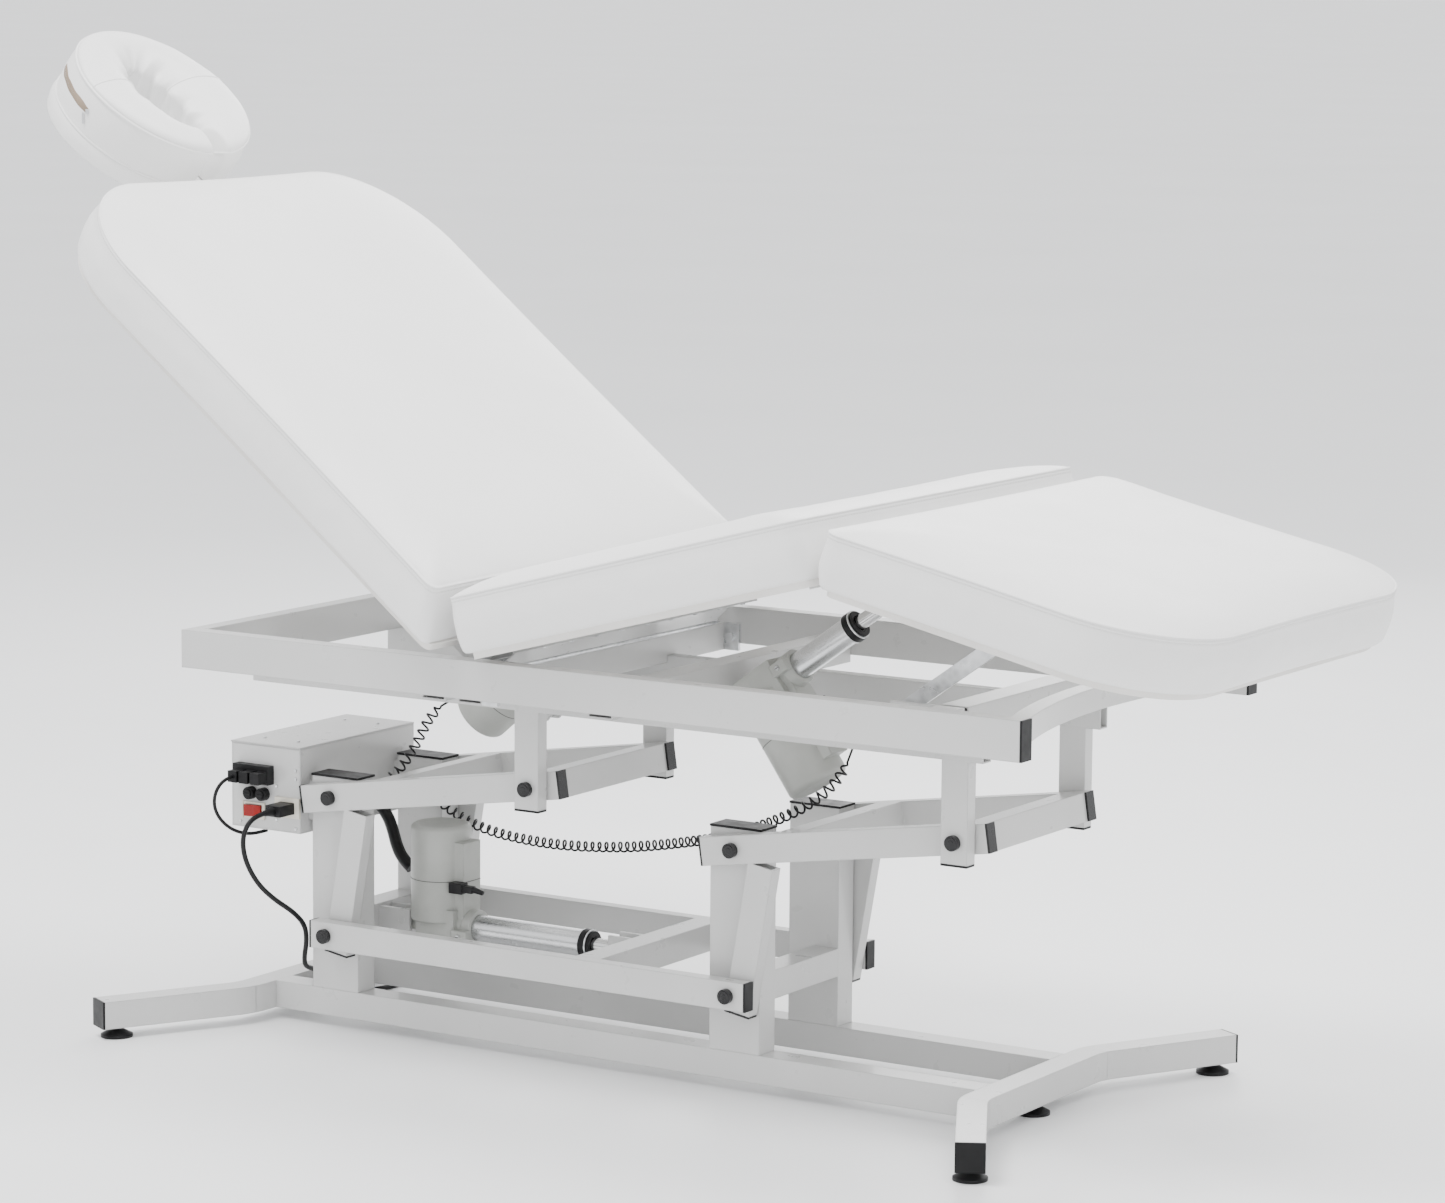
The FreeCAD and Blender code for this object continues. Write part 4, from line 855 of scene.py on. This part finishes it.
def coil_route():
    """The mains lead's stored length: turns side by side and in layers, from the near side round."""
    route = []
    for turn, (radius, height) in enumerate(COIL_LAYERS):
        after = COIL_LAYERS[min(turn + 1, len(COIL_LAYERS) - 1)]
        for k in range(COIL_PER_TURN):
            f = k / COIL_PER_TURN
            blend = max(0.0, (f - 0.7) / 0.3)
            r = radius + (after[0] - radius) * blend
            z = height + (after[1] - height) * blend
            a = math.pi - TAU * f
            route.append((COIL_X + r * math.cos(a), COIL_Y + r * math.sin(a), z))
    radius, height = COIL_LAYERS[-1]
    for along, z in ((4.0, height), (16.0, 17.0), (30.0, 15.5), (47.0, 14.0)):
        route.append((COIL_X - radius, COIL_Y + along, z))
    return route


def free_lead(name, route, radius, nodes):
    """A cord that hangs or lies free, fixed to the base."""
    points = [at(*p) for p in route]
    curve = spline_curve(name, points, radius * MM)
    curve.data.materials.append(MATERIALS["black_rubber"])
    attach(curve, "base")
    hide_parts(*nodes)
    length = line_length(smooth_path(points))


def curly_lead(name, route, node):
    """A coiled lead: a helix round a smooth route, straight for a little at both ends."""
    line = smooth_path([at(*p) for p in route])
    total = line_length(line)
    turns = int((total - CURL_TAILS) / CURL_PITCH)
    tail = (total - turns * CURL_PITCH) / 2
    helix = [line[0]]
    walked, index = 0.0, 0
    count = turns * CURL_PER_TURN
    side = Vector((0, 1, 0))
    for k in range(count + 1):
        want = tail + (total - 2 * tail) * k / count
        while index < len(line) - 2 and walked + (line[index + 1] - line[index]).length < want:
            walked += (line[index + 1] - line[index]).length
            index += 1
        step = line[index + 1] - line[index]
        base = line[index] + step.normalized() * (want - walked)
        run = step.normalized()
        side = (side - run * side.dot(run)).normalized()
        other = run.cross(side)
        ramp = min(1.0, k / CURL_PER_TURN, (count - k) / CURL_PER_TURN)
        a = TAU * k / CURL_PER_TURN
        uneven = 1 + 0.06 * noise.noise(Vector((k / 37.0, 3.1, 0)))
        helix.append(base + (side * math.cos(a) + other * math.sin(a)) * CURL_R * ramp * uneven)
    helix.append(line[-1])
    curve = spline_curve(name + "_line", helix, CURL_WIRE_R, 3)
    curve.data.bevel_resolution = 2
    mesh = bpy.data.meshes.new_from_object(curve)
    bpy.data.objects.remove(curve)
    obj = bpy.data.objects.new(name, mesh)
    bpy.context.scene.collection.objects.link(obj)
    paint(obj, "black_rubber")
    for poly in mesh.polygons:
        poly.use_smooth = True
    path = smooth_path(helix)
    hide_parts(node)
    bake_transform(obj)


def make_leads():
    free_lead("mains_cable", MAINS_ROUTE + coil_route(), MAINS_R, ["mains_lead", "mains_coil"])
    free_lead("control_cable", CONTROL_ROUTE, CONTROL_R, ["control_lead"])
    free_lead("motor_hose", CONDUIT_ROUTE, CONDUIT_R, ["motor_conduit"])
    curly_lead("leg_coiled_cable", LEG_ROUTE, "leg_curly_cord")
    curly_lead("back_coiled_cable", BACK_ROUTE, "back_curly_cord")


# ---- small hardware ----
def hex_sockets():
    """A dark hexagonal recess and a thin rim on each black bolt cap of the lift."""
    for name, body, spots in (
            ("post_bolt_rims", "base", [(47.0, 326.5, 149.5), (-603.0, 326.5, 149.5)]),
            ("foot_bolt_rims", "foot_crank", [(390.0, 378.0, 172.5), (56.0, 139.0, 172.5)]),
            ("head_bolt_rims", "head_crank", [(-260.0, 378.0, 172.5), (-594.0, 139.0, 172.5)])):
        parts = []
        for x, z, y in spots:
            for side in (-1, 1):
                parts.append(drum(at(x, side * y, z), (0, side, 0), 8.6 * MM, 7.4 * MM, 1.6 * MM, 32))
                parts.append(drum(at(x, side * (y + 0.9), z), (0, side, 0), 4.2 * MM, 4.0 * MM, 0.8 * MM, 6))
        solid_from(name, parts, "black_bolt", body)


BOX_FACE = -132.0
BOX_TOP = 388.0
FACE_SCREWS = [(-771, 352), (-771, 336), (-668, 356), (-668, 344), (-701, 331), (-668, 274), (-764, 276),
               (-701, 284)]
FUSES_X, FUSES_Z = (-744.0, -722.0), 318.0
BEZEL_SIDES, BEZEL_Z = (-757.6, -721.4), 293.5


def box_screws():
    parts = []
    for x, z in FACE_SCREWS:
        parts.append(drum(at(x, BOX_FACE - 0.9, z), (0, -1, 0), 2.6 * MM, 1.9 * MM, 1.8 * MM, 16))
    for x in (-752, -694):
        for y in (-92, 92):
            parts.append(drum(at(x, y, BOX_TOP + 0.8), (0, 0, 1), 3.0 * MM, 2.2 * MM, 1.8 * MM, 16))
    solid_from("control_box_screws", parts, "zinc_steel", "base")


def fuse_caps():
    """Black caps on the two fuse holders, each with a smaller step and a grip bar."""
    parts = []
    for x in FUSES_X:
        parts.append(drum(at(x, BOX_FACE - 5.2, FUSES_Z), (0, -1, 0), 9.2 * MM, 8.8 * MM, 10.4 * MM, 28))
        parts.append(drum(at(x, BOX_FACE - 11.4, FUSES_Z), (0, -1, 0), 6.2 * MM, 5.8 * MM, 2.2 * MM, 28))
        parts.append(brick(at(x, BOX_FACE - 12.8, FUSES_Z), (10 * MM, 1.2 * MM, 1.6 * MM)))
    solid_from("fuse_caps", parts, "black_plastic", "base", bevel=0.4 * MM)


def switch_frame():
    """A lip on each side of the rocker's bezel."""
    parts = [brick(at(x, BOX_FACE - 2.6, BEZEL_Z), (1.4 * MM, 3.4 * MM, 24 * MM)) for x in BEZEL_SIDES]
    solid_from("switch_frame", parts, "cream_plastic", "base", bevel=0.4 * MM)


class Drive:
    """A drive's own frame: along from its rear pin to its rod's pin, across the bed, up from its axis."""

    def __init__(self, rear, rod):
        run = math.hypot(rod[0] - rear[0], rod[1] - rear[1])
        self.rear = rear
        self.a = ((rod[0] - rear[0]) / run, (rod[1] - rear[1]) / run)
        self.n = (-self.a[1], self.a[0])

    def place(self, along, y, up):
        return at(self.rear[0] + along * self.a[0] + up * self.n[0], y,
                  self.rear[1] + along * self.a[1] + up * self.n[1])

    def turn(self):
        run = Vector((self.a[0], 0, self.a[1]))
        up = Vector((self.n[0], 0, self.n[1]))
        return Matrix((run, Vector((0, 1, 0)), up)).transposed().to_4x4()

    def way(self, along, y, up):
        return Vector((along * self.a[0] + up * self.n[0], y, along * self.a[1] + up * self.n[1]))


MOTOR_AT, MOTOR_R = 56.0, 42.35        # the motor's place along its drive, and the seam's radius round it
COLUMN_AT, COLUMN_SIZE = 84.0, (49.2, 40.7)
CLAMP_AT, CLAMP_Y, CLAMP_DROP = 109.0, 29.0, 8.0
NOSE_END, RING_LEN = 108.0, 14.0
TUBE_R, ROD_R, RING_R = 18.0, 10.0, 20.9
PLUG_Y = -28.0


def motor_details(name, body, rear, rod, length, side, tube_len):
    """A drive's seam line drawn in painted shade, clamp, screws, plug and end ring; side is the way its motor
    stands.
    """
    d = Drive(rear, rod)
    turn = d.turn()
    run = d.way(1, 0, 0)
    seam = side * length * 0.46
    low = -side * CLAMP_DROP

    def block(along, y, up, size):
        return brick(d.place(along, y, up), tuple(v * MM for v in size), turn)

    # a thin dark disc and band at the housing's seam: painted shade for the shadow in the seam's gap
    lines = [drum(d.place(MOTOR_AT, 0, seam), d.way(0, 0, 1), MOTOR_R * MM, MOTOR_R * MM, 0.9 * MM, 72),
             block(COLUMN_AT, 0, seam, (*COLUMN_SIZE, 0.9))]
    solid_from(name + "_seam_shade_line", lines, "seam_shade_line", body)
    clamp = [block(CLAMP_AT, y * CLAMP_Y, low, (26, 12, 17)) for y in (-1, 1)]
    clamp.append(collar(d.place(CLAMP_AT + 4, 0, 0), run, (TUBE_R + 0.2) * MM, 25.0 * MM, 15 * MM))
    solid_from(name + "_clamp", clamp, "grey_plastic", body, bevel=1.4 * MM)
    screws = []
    for y in (-1, 1):
        spot = d.place(CLAMP_AT, y * (CLAMP_Y + 7), low)
        screws.append(drum(spot, (0, y, 0), 3.6 * MM, 3.0 * MM, 3.2 * MM, 20))
    solid_from(name + "_clamp_screws", screws, "zinc_steel", body)
    # thin black bars on the screw heads: painted shade for the dark inside of their slots
    slots = [block(CLAMP_AT, y * (CLAMP_Y + 8.8), low, (5.2, 0.5, 0.9)) for y in (-1, 1)]
    solid_from(name + "_screw_slot_shade", slots, "black_plastic", body)
    neck = d.way(1, 0, -side * 0.2)
    plug = [block(104, PLUG_Y + 1, seam - side * 6, (22, 16, 15)),
            block(122, PLUG_Y, seam - side * 6, (18, 10, 10)),
            drum(d.place(138, PLUG_Y, seam - side * 7), neck, 4.6 * MM, 3.2 * MM, 18 * MM, 20)]
    solid_from(name + "_plug", plug, "black_rubber", body, bevel=1.2 * MM)
    ring_at = NOSE_END + tube_len + RING_LEN / 2
    rings = [collar(d.place(ring_at, 0, 0), run, (TUBE_R + 0.3) * MM, RING_R * MM, 10 * MM),
             collar(d.place(ring_at + 8.4, 0, 0), run, (ROD_R + 0.8) * MM, (TUBE_R + 0.6) * MM, 3 * MM)]
    solid_from(name + "_end_ring", rings, "black_plastic", body, bevel=0.6 * MM)


def seat_hinge_screws():
    """Pan-head screws along the hinge leaf under the seat's head end."""
    down = -Vector((SEAT.w[0], 0, SEAT.w[1]))
    parts = []
    for y in range(-240, 241, 60):
        parts.append(drum(SEAT.place(48.0, y, -86.6), down, 4.2 * MM, 2.8 * MM, 1.8 * MM, 18))
    solid_from("seat_hinge_screws", parts, "zinc_steel", "seat_section")


def make_hardware():
    hex_sockets()
    box_screws()
    fuse_caps()
    switch_frame()
    motor_details("lift_motor", "lift_drive", (-573.0, 138.0), (-212.0, 138.0), 142.0, 1, 187.0)
    motor_details("back_motor", "back_drive", (-345.0, 455.0), (-587.0, 743.0), 94.0, 1, 130.0)
    motor_details("leg_motor", "leg_drive", (-36.0, 482.0), (228.0, 669.0), 146.0, -1, 106.0)
    seat_hinge_screws()


def make_floor():
    mesh = bpy.data.meshes.new("floor")
    corners = [(x * FLOOR_HALF, y * FLOOR_HALF, 0) for x, y in ((-1, -1), (1, -1), (1, 1), (-1, 1))]
    mesh.from_pydata(corners, [], [(0, 1, 2, 3)])
    floor = bpy.data.objects.new("floor", mesh)
    bpy.context.scene.collection.objects.link(floor)
    floor.data.materials.append(floor_paint())


set_camera()
set_light()
make_floor()
paint_frame()
make_leads()
make_pads()
make_cradle()
make_hardware()
